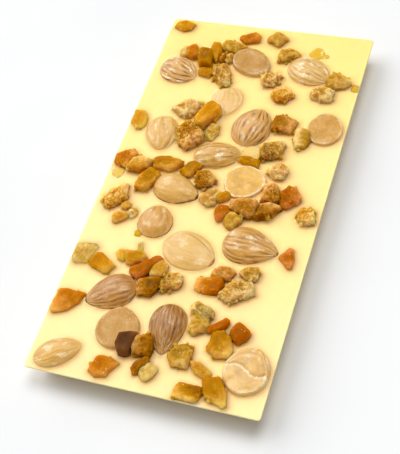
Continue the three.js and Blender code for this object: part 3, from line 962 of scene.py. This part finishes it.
class Fruit(Enum):
    """The kinds of candied fruit."""

    HONEY = FruitFinish("honey", "gold", "a06200", "c58700", "ecbc54", roughness=0.26, lumps=0.25, sink=0.0)
    AMBER = FruitFinish("amber", "gold", "8e5600", "b67e00", "ecb85a", sink=0.0)
    ORANGE = FruitFinish("orange", "orange", "944600", "ba7200", "eca852")
    PEACH = FruitFinish(
        "peach",
        "orange",
        "a45c06",
        "c48e24",
        "eec07c",
        wrinkles=0.14,
        grains=0.06,
        crest_highlights=0.16,
        tooth=0.25,
        sugar=0.25,
        facets=0.1,
        crumbs=7,
    )
    RUST = FruitFinish("rust", "russet", "883e00", "ae6500", "e89c5a", sink=0.0)
    TOFFEE = CRUMBLY
    OLIVE = replace(
        CRUMBLY,
        name="olive",
        slot="olive",
        deep="815706",
        body="ba8d27",
        pale="e8c47c",
        sink=0.25,
        fold_size=2.2,
        sugar_tone="e7cd91",
        film_tone="e7c46c",
    )
    SUGARED = FruitFinish(
        "sugared",
        "sugared",
        "835a12",
        "bb8b34",
        "ecca90",
        roughness=0.4,
        lumps=0.45,
        wrinkles=0.3,
        grains=0.14,
        pebbles=0.2,
        mottle=0.14,
        grit=0.05,
        crest_highlights=0.26,
        tooth=0.4,
        sugar=0.5,
        sink=0.12,
        facets=0.14,
        fold_size=2.4,
        crumbs=10,
        sugar_tone="e5cb8f",
        film_tone="e5c26b",
    )
    COCOA = FruitFinish(
        "cocoa",
        "dark",
        "3e210c",
        "553215",
        "764c28",
        lumps=0.06,
        wrinkles=0.02,
        pebbles=0.0,
        film_share=0.0,
        sugar_tone="a47b51",
        glint_tone="a47b51",
    )
    GLAZED = FruitFinish(
        "glazed",
        "gold",
        "c89a10",
        "dcb038",
        "e4c47c",
        lumps=0.04,
        wrinkles=0.0,
        grains=0.0,
        pebbles=0.0,
        crest_highlights=0.0,
        fringe=0.0,
        film_share=1.0,
        film_height=0.15,
        sink=0.0,
        facets=0.0,
        glow=0.1,
        film_tone="ffdc92",
    )


@dataclass(frozen=True)
class FruitLook:
    """How one piece of fruit differs from the others.

    The shade is its place on the scale of tones, and the paler side says how much painted light makes it
    paler to the right and to the back. The crumple and the fold are factors for the height and the size of
    its folds. It is fuller than its solid by grow, in millimetres.
    """

    kind: Fruit
    shade: float = 0.5
    paler_side: tuple[float, float] = (0.15, -0.1)
    crumple: float = 1.0
    grow: float = 0.5
    fold: float = 1.0


FRUIT_LOOKS = {
    "fruit_olive_01": FruitLook(Fruit.OLIVE, 0.5),
    "fruit_brown_02": FruitLook(Fruit.AMBER, 0.17, (0.0, -0.1), crumple=0.7, grow=0.8),
    "fruit_sugared_03": FruitLook(Fruit.SUGARED, 0.45),
    "fruit_olive_04": FruitLook(Fruit.OLIVE, 0.5),
    "fruit_sugared_05": FruitLook(Fruit.SUGARED, 0.64, crumple=1.5),
    "fruit_olive_06": FruitLook(Fruit.OLIVE, 0.45),
    "fruit_sugared_07": FruitLook(Fruit.SUGARED, 0.6),
    "fruit_orange_08": FruitLook(Fruit.PEACH, 0.57, (0.0, 0.4), crumple=2.0),
    "fruit_gold_09": FruitLook(Fruit.HONEY, 0.62),
    "fruit_sugared_10": FruitLook(Fruit.SUGARED, 0.72),
    "fruit_gold_11": FruitLook(Fruit.HONEY, 0.5, crumple=1.2),
    "fruit_brown_12": FruitLook(Fruit.TOFFEE, 0.54, crumple=2.8, fold=0.45),
    "fruit_orange_13": FruitLook(Fruit.ORANGE, 0.5, crumple=2.4),
    "fruit_russet_14": FruitLook(Fruit.PEACH, 0.58, (0.0, 0.4)),
    "fruit_gold_15": FruitLook(Fruit.AMBER, 0.4, (0.1, -0.3), crumple=1.8),
    "fruit_gold_16": FruitLook(Fruit.AMBER, 0.34),
    "fruit_brown_17": FruitLook(Fruit.TOFFEE, 0.48, (0.3, 0.0), crumple=1.6, fold=0.5),
    "fruit_gold_18": FruitLook(Fruit.AMBER, 0.5, crumple=1.8),
    "fruit_brown_19": FruitLook(Fruit.TOFFEE, 0.46, crumple=0.8, fold=0.6),
    "fruit_olive_20": FruitLook(Fruit.OLIVE, 0.5, (-0.4, 0.0)),
    "fruit_sugared_21": FruitLook(Fruit.SUGARED, 0.34, (0.0, 0.4), fold=0.5),
    "fruit_russet_22": FruitLook(Fruit.TOFFEE, 0.62, (-0.2, 0.2), crumple=1.3, fold=0.7),
    "fruit_russet_23": FruitLook(Fruit.RUST, 0.5, (0.3, 0.0), crumple=2.0),
    "fruit_orange_24": FruitLook(Fruit.PEACH, 0.64, (-0.1, 0.2), crumple=2.2),
    "fruit_russet_25": FruitLook(Fruit.RUST, 0.4),
    "fruit_orange_26": FruitLook(Fruit.HONEY, 0.42, (0.2, -0.2)),
    "fruit_brown_27": FruitLook(Fruit.TOFFEE, 0.4, (-0.3, 0.0)),
    "fruit_sugared_28": FruitLook(Fruit.SUGARED, 0.38, fold=0.7),
    "fruit_brown_29": FruitLook(Fruit.TOFFEE, 0.53, (0.0, 0.1), crumple=0.8, fold=0.7),
    "fruit_brown_30": FruitLook(Fruit.TOFFEE, 0.4, (0.0, 0.3)),
    "fruit_sugared_31": FruitLook(Fruit.PEACH, 0.55, crumple=3.0),
    "fruit_orange_32": FruitLook(Fruit.ORANGE, 0.43, (-0.45, 0.0), crumple=1.6),
    "fruit_sugared_33": FruitLook(Fruit.SUGARED, 0.62, fold=0.5),
    "fruit_dark_34": FruitLook(Fruit.COCOA, 0.6),
    "fruit_orange_35": FruitLook(Fruit.ORANGE, 0.62, (-0.15, -0.2)),
    "fruit_orange_36": FruitLook(Fruit.ORANGE, 0.54),
    "fruit_olive_37": FruitLook(Fruit.TOFFEE, 0.45, (-0.3, 0.1)),
    "fruit_gold_38": FruitLook(Fruit.AMBER, 0.5, (0.25, -0.25)),
    "fruit_olive_39": FruitLook(Fruit.OLIVE, 0.36),
    "fruit_gold_40": FruitLook(Fruit.AMBER, 0.54, (0.2, -0.2)),
    "fruit_orange_41": FruitLook(Fruit.AMBER, 0.3, (-0.2, -0.3), crumple=1.8),
}


@dataclass
class FruitMaker:
    """Gives pieces of fruit their lumps, wrinkles and sugar grains, with painted shade in their hollows and
    painted highlights on their crests.

    Sizes are in millimetres, and fold is a factor for the size of the folds.
    """

    kind: Fruit
    fold: float = 1.0
    lump_size: float = 2.6
    grain_size: float = 0.85
    pebble_size: float = 2.3
    relief_shade: float = 0.25
    most_shade: float = 0.3
    most_crumple: float = 2.2

    def relieve(
        self, bm: bmesh.types.BMesh, verts: list[bmesh.types.BMVert], crumple: float, strength: float = 1.0
    ) -> None:
        """Roughens the skin of one piece.

        Args:
            bm: The mesh that the piece is in.
            verts: Its points, in place and in millimetres.
            crumple: Factor for its wrinkles.
            strength: Factor for the whole relief.
        """
        finish = self.kind.value
        shade = bm.verts.layers.float["shade"]
        creased = min(self.most_crumple, crumple)
        bm.normal_update()
        moves = []
        for vertex in verts:
            place = vertex.co
            lump = noise.fractal(place / self.lump_size, 1.0, 2.0, 4)
            spot = place / (finish.fold_size * self.fold) + Vector((9, 4, 2))
            fold = 1 - 2 * abs(noise.fractal(spot, 1.0, 2.0, 2))
            near, far = noise.voronoi(place / self.grain_size)[0][:2]
            gaps, seeds = noise.voronoi(place / self.pebble_size + Vector((5, 1, 7)))
            inside = ease(0, 0.5, gaps[1] - gaps[0])
            height = finish.lumps * lump + finish.wrinkles * crumple * (fold - 0.6)
            height += finish.grains * (far - near - 0.4) + finish.pebbles * crumple * (inside - 0.7)
            above = ease(SURFACE - 1.0, SURFACE + 0.4, place.z)
            moves.append(vertex.normal * height * strength * (0.3 + 0.7 * above))
            # painted shade: paler on high points, deeper in hollows
            vertex[shade] += min(self.most_shade, max(-self.most_shade, self.relief_shade * height))
            # painted highlights along the crests of the folds
            vertex[shade] += finish.crest_highlights * creased * (ease(0.55, 0.95, fold) - 0.3)
            vertex[shade] += finish.facets * creased * inside * 2 * noise.noise(seeds[0] * 3.7)
        for vertex, move in zip(verts, moves, strict=True):
            vertex.co += move


@dataclass
class FruitPiece:
    """One of the larger pieces of fruit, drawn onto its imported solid."""

    node: str
    look: FruitLook
    fineness: int = 5

    def build(self) -> bpy.types.Object:
        """Shapes the piece and gives it its skin.

        Returns:
            The piece.
        """
        low, high = (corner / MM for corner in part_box(self.node))
        points = [vertex.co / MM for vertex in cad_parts[self.node].data.vertices]
        middle = sum(points, Vector()) / len(points)
        tree = solid_tree(self.node)
        bm = bmesh.new()
        bmesh.ops.create_icosphere(bm, subdivisions=self.fineness, radius=1.0)
        bmesh.ops.scale(bm, vec=(high - low) / 2, verts=bm.verts)
        reach = (high - low).length
        for vertex in bm.verts:
            ray = vertex.co.normalized()
            hit = tree.ray_cast(middle + ray * reach, -ray)[0]
            vertex.co = hit or tree.find_nearest(middle + vertex.co)[0]
        smooth_out(bm, bm.verts)
        half = (high - low) / 2
        fuller = Vector([1 + self.look.grow / part for part in half])
        for vertex in bm.verts:
            vertex.co = middle + (vertex.co - middle) * fuller
        finish = self.look.kind.value
        shade = bm.verts.layers.float.new("shade")
        side = self.look.paler_side
        for vertex in bm.verts:
            # painted light: paler to one side and towards the thin outline, where light would come through
            lean = sum(side[i] * (vertex.co[i] - middle[i]) / half[i] for i in range(2))
            out = math.hypot(*((vertex.co[i] - middle[i]) / half[i] for i in range(2)))
            vertex[shade] = self.look.shade + lean + finish.fringe * (ease(0.45, 1.05, out) - 0.25)
        FruitMaker(self.look.kind, self.look.fold).relieve(bm, list(bm.verts), self.look.crumple)
        return finish_piece(bm, f"candied_{self.node[-2:]}", finish.dress(), [self.node])


@dataclass(frozen=True)
class Bit:
    """A small bit of fruit that is one with the chocolate: place, sizes, direction in degrees and tone.

    It is fuller than its bump on the slab's solid by grow, in millimetres.
    """

    kind: Fruit
    at: tuple[float, float]
    size: Triple
    turn: float
    shade: float = 0.5
    grow: float = 0.45


BITS = [
    Bit(Fruit.HONEY, (-33.8, 73.4), (6.8, 5.1, 1.8), 159, 0.45),
    Bit(Fruit.ORANGE, (-6.2, 70.7), (7.8, 4.2, 2.0), 18, 0.45),
    Bit(Fruit.HONEY, (-17.6, 62.1), (10.5, 4.5, 2.2), 90, 0.35),
    Bit(Fruit.ORANGE, (-26.1, 59.9), (6.7, 4.6, 2.8), 108, 0.45),
    Bit(Fruit.OLIVE, (-29.7, 59.9), (5.0, 3.0, 1.8), 99, 0.8),
    Bit(Fruit.AMBER, (-18.2, 51.3), (6.4, 3.3, 2.0), 177, 0.38),
    Bit(Fruit.TOFFEE, (-14.0, 59.3), (3.7, 2.9, 2.0), 111, 0.42),
    Bit(Fruit.SUGARED, (-11.2, 59.1), (3.8, 3.6, 2.2), 39, 0.52),
    Bit(Fruit.OLIVE, (4.5, 71.5), (6.2, 5.6, 2.6), 54, 0.48),
    Bit(Fruit.GLAZED, (20.6, 67.3), (4.2, 4.2, 0.4), 120, 0.45, 1.3),
    Bit(Fruit.GLAZED, (23.9, 66.3), (2.6, 1.3, 0.3), 21, 0.5),
    Bit(Fruit.GLAZED, (38.1, 52.9), (2.8, 1.9, 0.5), 90, 0.3),
    Bit(Fruit.OLIVE, (-7.4, 24.1), (7.5, 4.9, 1.8), 102, 0.65),
    Bit(Fruit.GLAZED, (9.1, 18.7), (5.9, 4.7, 0.4), 36, 1.0, 0.9),
    Bit(Fruit.AMBER, (9.2, 14.1), (8.5, 3.7, 1.4), 171, 0.34),
    Bit(Fruit.SUGARED, (21.1, 11.2), (6.8, 6.3, 2.8), 150, 0.72),
    Bit(Fruit.GLAZED, (-35.5, 1.4), (4.7, 4.3, 0.4), 72, 0.7),
    Bit(Fruit.PEACH, (-27.4, -12.5), (2.9, 2.7, 1.8), 24, 0.54),
    Bit(Fruit.SUGARED, (-24.3, -14.6), (3.7, 3.5, 1.2), 141, 0.6),
    Bit(Fruit.PEACH, (-28.3, -17.4), (5.6, 4.0, 1.8), 39, 0.5),
    Bit(Fruit.GLAZED, (-19.6, -22.0), (2.2, 2.0, 0.5), 99, 0.0),
    Bit(Fruit.HONEY, (-21.9, -31.8), (4.9, 2.9, 1.6), 114, 0.72),
    Bit(Fruit.OLIVE, (-16.8, -27.2), (3.2, 1.1, 0.8), 108, 0.75),
    Bit(Fruit.AMBER, (-16.6, -32.1), (7.7, 5.9, 2.2), 27, 0.55),
    Bit(Fruit.PEACH, (-6.9, -34.6), (6.3, 5.6, 2.2), 99, 0.56),
    Bit(Fruit.OLIVE, (-35.2, -33.3), (8.7, 8.5, 1.0), 6, 0.76),
    Bit(Fruit.SUGARED, (0.8, -3.4), (6.4, 5.3, 2.2), 60, 0.58, 1.0),
    Bit(Fruit.AMBER, (5.2, -2.4), (5.2, 2.5, 2.0), 39, 0.5, 0.7),
    Bit(Fruit.RUST, (6.8, -8.5), (5.5, 4.9, 2.4), 39, 0.45, 0.8),
    Bit(Fruit.OLIVE, (10.7, -11.5), (6.1, 6.0, 2.2), 69, 0.5),
    Bit(Fruit.RUST, (33.5, -21.7), (6.9, 5.3, 1.6), 135, 0.55),
    Bit(Fruit.TOFFEE, (14.1, -31.2), (7.3, 5.0, 2.2), 171, 0.66),
    Bit(Fruit.SUGARED, (23.2, -30.2), (6.3, 5.9, 2.6), 153, 0.45),
    Bit(Fruit.TOFFEE, (-2.0, -69.1), (7.6, 3.2, 2.0), 63, 0.28),
    Bit(Fruit.OLIVE, (1.1, -70.8), (5.8, 5.1, 1.8), 57, 0.8),
    Bit(Fruit.SUGARED, (11.8, -46.6), (8.3, 4.3, 2.8), 168, 0.5),
    Bit(Fruit.OLIVE, (12.1, -50.8), (8.3, 6.6, 2.4), 84, 0.52),
    Bit(Fruit.ORANGE, (18.4, -50.8), (7.9, 2.5, 2.4), 39, 0.2),
    Bit(Fruit.RUST, (25.8, -52.2), (6.4, 5.9, 2.6), 150, 0.29),
    Bit(Fruit.AMBER, (17.3, -66.4), (8.3, 3.4, 1.6), 150, 0.6),
]


@dataclass
class BitGroup:
    """All small bits of one kind of fruit, drawn onto their bumps on the slab's solid, and its crumbs.

    Bits and crumbs of one kind are kept apart, because light can't be followed through shells that overlap.
    """

    kind: Fruit
    fineness: int = 5
    small: float = 6.5
    sunk: float = 1.2
    reach: float = 1.3
    crumb_size: tuple[float, float] = (0.35, 0.85)
    crumb_level: tuple[float, float] = (0.1, 0.6)
    crumb_paler: tuple[float, float] = (-0.1, 0.25)
    crumb_fineness: int = 2
    crumb_uneven: float = 0.7
    crumb_stand: float = 0.2
    crumb_room: float = 1.5

    def bits(self) -> list[Bit]:
        """Lists the bits of this kind."""
        return [bit for bit in BITS if bit.kind is self.kind]

    def build(self) -> bpy.types.Object:
        """Shapes the bits and gives them their skin.

        Returns:
            The piece.
        """
        bumps = solid_tree("chocolate_slab", SURFACE + BUMP_START)
        bm = bmesh.new()
        shade = bm.verts.layers.float.new("shade")
        maker = FruitMaker(self.kind)
        finish = self.kind.value
        for bit in self.bits():
            fineness = self.fineness - (max(bit.size) < self.small)
            verts = bmesh.ops.create_icosphere(bm, subdivisions=fineness, radius=1.0)["verts"]
            for vertex in verts:
                # painted light: paler towards the thin outline
                out = ease(0.3, 0.9, math.hypot(vertex.co.x, vertex.co.y))
                vertex[shade] = bit.shade + finish.fringe * (out - 0.25)
            self.draw_on(verts, bit, bumps)
            smooth_out(bm, verts)
            bm.normal_update()
            fuller = Vector((bit.grow, bit.grow, min(bit.grow, bit.size[2] / 6)))
            for vertex in verts:
                vertex.co += vertex.normal * fuller
            maker.relieve(bm, verts, 1.0, min(1.0, 0.25 + bit.size[2] / 3))
        self.strew(bm, shade)
        return finish_piece(bm, f"bits_{finish.name}", finish.dress(), ["chocolate_slab"])

    def strew(self, bm: bmesh.types.BMesh, shade: bmesh.types.BMLayerItem) -> None:
        """Adds crumbs that cling to the outlines of the larger pieces of this kind.

        Args:
            bm: The mesh of the bits.
            shade: Where the tones are kept.
        """
        draw = random.Random(self.kind.name)
        taken = [(Vector((*bit.at, SURFACE)), max(bit.size) / 2 + bit.grow) for bit in self.bits()]
        for node, look in FRUIT_LOOKS.items():
            if look.kind is not self.kind:
                continue
            tree = solid_tree(node)
            low, high = (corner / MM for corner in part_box(node))
            for _ in range(self.kind.value.crumbs):
                angle = draw.uniform(0, 2 * math.pi)
                size = draw.uniform(*self.crumb_size)
                level = SURFACE + draw.uniform(*self.crumb_level) * (high.z - SURFACE)
                paler = draw.uniform(*self.crumb_paler)
                aim = Vector((math.cos(angle), math.sin(angle), 0))
                middle = Vector(((low.x + high.x) / 2, (low.y + high.y) / 2, level))
                hit = tree.ray_cast(middle + aim * (high - low).length, -aim)[0]
                if not hit:
                    continue
                spot = hit + aim * (look.grow + self.crumb_stand * size)
                room = self.crumb_room * size
                if any((spot - other).length < room + reach for other, reach in taken):
                    continue
                taken.append((spot, room))
                crumb = bmesh.ops.create_icosphere(bm, subdivisions=self.crumb_fineness, radius=size)
                for vertex in crumb["verts"]:
                    uneven = 1 + self.crumb_uneven * noise.noise(vertex.co / size + hit)
                    vertex[shade] = look.shade + paler
                    vertex.co = spot + vertex.co * uneven

    def draw_on(self, verts: list[bmesh.types.BMVert], bit: Bit, bumps: BVHTree) -> None:
        """Draws a sphere onto one bump, with a foot that goes into the chocolate.

        Args:
            verts: The sphere's points.
            bit: The bit.
            bumps: Search tree of the bumps.
        """
        low = min(0.1, bit.size[2] / 4)
        centre = Vector((*bit.at, SURFACE + low))
        turn = Matrix.Rotation(math.radians(bit.turn), 3, "Z")
        half = Vector((bit.size[0] / 2, bit.size[1] / 2, bit.size[2]))
        for vertex in verts:
            ray = vertex.co.copy()
            ray.z = max(0.0, ray.z)
            block = max(abs(part) for part in ray) or 1.0
            aim = turn @ Vector([ray[i] / block * half[i] for i in range(3)])
            limit = aim.length * self.reach
            hit = bumps.ray_cast(centre, aim.normalized(), limit)[0] if aim.length else None
            foot = max(0.0, -vertex.co.z)
            spread = math.sqrt(1 - foot**2)
            vertex.co = centre + ((hit - centre) if hit else aim) * spread
            vertex.co.z -= self.sunk * foot


@dataclass
class Slab:
    """The chocolate: an open face that rises round the toppings, and moulded sides that lean in.

    Sizes are in millimetres and the lean is in degrees. The shares next to fruit and to nuts are of a
    painted warm shade round a topping.
    """

    length: float = 155.0
    width: float = 79.0
    corner: float = 1.0
    edge: float = 0.6
    rim: float = 0.25
    lean: float = 30.0
    cell: float = 0.42
    swell: float = 0.1
    swell_size: float = 26.0
    climb: float = 0.4
    climb_reach: float = 0.5
    warm_shade_reach: float = 0.9
    fruit_warmth: float = 0.83
    nut_warmth: float = 0.46
    nick_at: tuple[float, float] = (19.2, -77.3)
    nick_size: tuple[float, float] = (1.3, 0.6)
    nick_depth: float = 0.35
    tuck: float = 0.7
    tuck_points: int = 8
    hollow_start: float = 0.1
    side_fade: float = 0.4
    side_rows: int = 8
    edge_rows: int = 4

    def build(self, toppings: list[bpy.types.Object]) -> bpy.types.Object:
        """Shapes the slab round its toppings and gives it its finish.

        Args:
            toppings: The finished pieces that are set into it.

        Returns:
            The piece.
        """
        bm = bmesh.new()
        warmth = bm.verts.layers.float.new("warmth")
        nick = bm.verts.layers.float.new("nick")
        half = Vector((self.width / 2 - self.rim, self.length / 2 - self.rim))
        bmesh.ops.create_grid(
            bm, x_segments=round(2 * half.x / self.cell), y_segments=round(2 * half.y / self.cell), size=1.0
        )
        bmesh.ops.scale(bm, vec=(half.x, half.y, 1.0), verts=bm.verts)
        bmesh.ops.translate(bm, vec=(0, 0, SURFACE), verts=bm.verts)
        self.round_corners(bm, half)
        self.raise_surface(bm, toppings, warmth)
        self.break_edge(bm, nick)
        self.add_sides(bm, half)
        bmesh.ops.recalc_face_normals(bm, faces=bm.faces)
        return finish_piece(bm, "chocolate", CHOCOLATE.dress(), ["chocolate_slab"])

    def round_corners(self, bm: bmesh.types.BMesh, half: Vector) -> None:
        """Draws the grid's corners onto arcs.

        Args:
            bm: The grid.
            half: Half its sizes.
        """
        radius = self.corner - self.rim
        for vertex in bm.verts:
            over = [abs(vertex.co[i]) - (half[i] - radius) for i in range(2)]
            if min(over) > 0:
                share = max(over) / math.hypot(*over)
                for i in range(2):
                    vertex.co[i] = math.copysign(half[i] - radius + over[i] * share, vertex.co[i])

    def raise_surface(
        self, bm: bmesh.types.BMesh, toppings: list[bpy.types.Object], warmth: bmesh.types.BMLayerItem
    ) -> None:
        """Gives the open face its swell, its rise round the toppings and the hollows under them.

        Args:
            bm: The grid.
            toppings: The finished pieces.
            warmth: Where the painted warm shade round the toppings is kept.
        """
        skins, ends = search_tree(topping.data for topping in toppings)
        solid = solid_tree("chocolate_slab")
        angles = np.linspace(0, 2 * math.pi, self.tuck_points, False)
        ring = [Vector((math.cos(angle), math.sin(angle), 0)) * self.tuck for angle in angles]
        down = Vector((0, 0, -1))
        for vertex in bm.verts:
            place = vertex.co.copy()
            face, distance = skins.find_nearest(place)[2:]
            above = place + Vector((0, 0, SURFACE))
            floors = [solid.ray_cast(above + step, down)[0] for step in (Vector(), *ring)]
            floor = max((hit.z if hit else SURFACE) for hit in floors)
            # painted warm shade, strongest next to a topping and fading away from it
            by_nut = toppings[bisect(ends, face)].name.startswith("nut")
            full = self.nut_warmth if by_nut else self.fruit_warmth
            vertex[warmth] = full * math.exp(-distance / self.warm_shade_reach)
            vertex.co.z += self.swell * noise.fractal(place / self.swell_size, 1.0, 2.0, 2)
            vertex.co.z += self.climb * math.exp(-distance / self.climb_reach)
            if floor < SURFACE - self.hollow_start:
                vertex.co.z = floor

    def break_edge(self, bm: bmesh.types.BMesh, nick: bmesh.types.BMLayerItem) -> None:
        """Breaks a small nick out of the front edge.

        Args:
            bm: The open face.
            nick: Where the nick's depth and paler tone are kept.
        """
        for vertex in bm.verts:
            spot = [(vertex.co[i] - self.nick_at[i]) / self.nick_size[i] for i in range(2)]
            vertex[nick] = ease(1.2, 0.6, math.hypot(*spot) + 0.4 * noise.noise(vertex.co * 2))
            vertex.co.z -= self.nick_depth * vertex[nick]

    def add_sides(self, bm: bmesh.types.BMesh, half: Vector) -> None:
        """Adds the rounded edge, the leaning sides and the underside.

        Args:
            bm: The open face.
            half: Half its sizes.
        """
        loop = [edge for edge in bm.edges if edge.is_boundary]
        core = [half[i] - (self.corner - self.rim) for i in range(2)]
        last = (0.0, 0.0)
        for row in range(1, self.edge_rows + 1):
            angle = row / self.edge_rows * math.pi / 2
            out, drop = self.rim * math.sin(angle), self.rim * (1 - math.cos(angle))
            loop, verts = self.next_row(bm, loop)
            for vertex in verts:
                inner = Vector([min(core[i], max(-core[i], vertex.co[i])) for i in range(2)])
                away = (vertex.co.xy - inner).normalized() * (out - last[0])
                vertex.co += Vector((away.x, away.y, last[1] - drop))
            last = (out, drop)
        top = SURFACE - self.edge
        levels = [top - (top - self.edge) * row / self.side_rows for row in range(self.side_rows + 1)]
        for row in range(1, self.edge_rows + 1):
            levels.append(self.edge * (1 - math.sin(row / self.edge_rows * math.pi / 2)))
        inset = 0.0
        for level in levels:
            under = max(0.0, self.edge - level)
            next_inset = math.tan(math.radians(self.lean)) * (top - level)
            next_inset += self.edge - math.sqrt(self.edge**2 - under**2)
            loop, verts = self.next_row(bm, loop)
            for vertex in verts:
                vertex.co.x *= (self.width - 2 * next_inset) / (self.width - 2 * inset)
                vertex.co.y *= (self.length - 2 * next_inset) / (self.length - 2 * inset)
                vertex.co.z = level
            inset = next_inset
        bmesh.ops.contextual_create(bm, geom=loop)

    def next_row(
        self, bm: bmesh.types.BMesh, loop: list[bmesh.types.BMEdge]
    ) -> tuple[list[bmesh.types.BMEdge], list[bmesh.types.BMVert]]:
        """Draws a new row out of an open loop, with less of the tones that the row before it carries.

        Args:
            bm: The mesh.
            loop: Edges of the loop.

        Returns:
            The new loop's edges and points.
        """
        made = bmesh.ops.extrude_edge_only(bm, edges=loop)["geom"]
        verts = [part for part in made if isinstance(part, bmesh.types.BMVert)]
        for vertex in verts:
            for layer in bm.verts.layers.float.values():
                vertex[layer] *= self.side_fade
        edges = [part for part in made if isinstance(part, bmesh.types.BMEdge) and part.is_boundary]
        return edges, verts


@dataclass(frozen=True)
class Lamp:
    """A wide soft light: the direction that it comes from, its width in degrees and its strength."""

    name: str
    origin: Triple
    width: float
    strength: float
    only_glints: bool = False

    def hang(self) -> None:
        """Adds the light, which is the same all over the floor."""
        lamp = bpy.data.lights.new(self.name, "SUN")
        lamp.angle = math.radians(self.width)
        lamp.energy = self.strength
        holder = add_object(self.name, lamp)
        holder.location = self.origin
        holder.rotation_euler = (-Vector(self.origin)).to_track_quat("-Z", "Y").to_euler()
        holder.visible_diffuse = not self.only_glints


LAMPS = (
    Lamp("side", (-0.741, 0.23, 0.631), 55, 2.46),
    Lamp("back", (0.05, 0.42, 0.906), 36, 1.68),
    Lamp("glint", (-0.535, 0.724, 0.433), 24, 0.8, only_glints=True),
)


@dataclass
class Studio:
    """Pale floor, soft light from behind on the left and the camera, with sizes in millimetres."""

    floor_tones: tuple[str, str] = ("dadbdc", "dedfdf")
    floor_patch: float = 60.0
    floor_roughness: float = 0.7
    floor_size: float = 3000.0
    sky: float = 0.324
    lens: float = 79.7
    camera_at: Triple = (103.09, -181.8, 284.85)
    camera_aim: Triple = (0.61, -15.25, 8.0)
    camera_roll: float = -16.71
    camera_nearest: float = 10.0

    def build(self) -> None:
        """Makes the floor, the lights and the camera."""
        self.lay_floor()
        for lamp in LAMPS:
            lamp.hang()
        world = bpy.data.worlds.new("studio")
        world.use_nodes = True
        background = world.node_tree.nodes["Background"]
        background.inputs["Color"].default_value = (1.0, 1.0, 1.0, 1.0)
        background.inputs["Strength"].default_value = self.sky
        bpy.context.scene.world = world
        bpy.context.scene.view_settings.view_transform = "Standard"
        self.set_camera()

    def lay_floor(self) -> None:
        """Makes the floor as stage."""
        bench = Bench("floor")
        mottle = bench.spread(bench.speckle(self.floor_patch, 2), 0.3, 0.7)
        first, second = (tone(code) for code in self.floor_tones)
        bench.feed(bench.skin, "Base Color", bench.blend(mottle, first, second))
        bench.feed(bench.skin, "Roughness", self.floor_roughness)
        bm = bmesh.new()
        bmesh.ops.create_grid(bm, x_segments=1, y_segments=1, size=self.floor_size * MM / 2)
        floor = add_mesh(bm, "floor", bench.material)

    def set_camera(self) -> None:
        """Places the camera where the photograph was taken from."""
        camera = bpy.data.cameras.new("camera")
        camera.lens = self.lens
        camera.clip_start = self.camera_nearest * MM
        holder = add_object("camera", camera)
        place = Vector(self.camera_at) * MM
        aim = Vector(self.camera_aim) * MM
        roll = Quaternion((0, 0, 1), math.radians(self.camera_roll))
        holder.rotation_mode = "QUATERNION"
        holder.location = place
        holder.rotation_quaternion = (aim - place).to_track_quat("-Z", "Y") @ roll
        bpy.context.scene.camera = holder


def main() -> None:
    """Builds the bar from its toppings to the chocolate, then the studio."""
    logging.basicConfig(level=logging.INFO, format="%(message)s")
    toppings = [Almond(node, look).build() for node, look in ALMOND_LOOKS.items()]
    toppings += [FruitPiece(node, look).build() for node, look in FRUIT_LOOKS.items()]
    raised = [kind for kind in Fruit if kind not in (Fruit.COCOA, Fruit.GLAZED)]
    toppings += [BitGroup(kind).build() for kind in raised]
    BitGroup(Fruit.GLAZED).build()  # flat films, which the chocolate doesn't rise round
    Slab().build(toppings)
    Studio().build()
    LOG.info("built the slab with %d toppings and groups of bits", len(toppings))


if __name__ == "__main__":
    main()
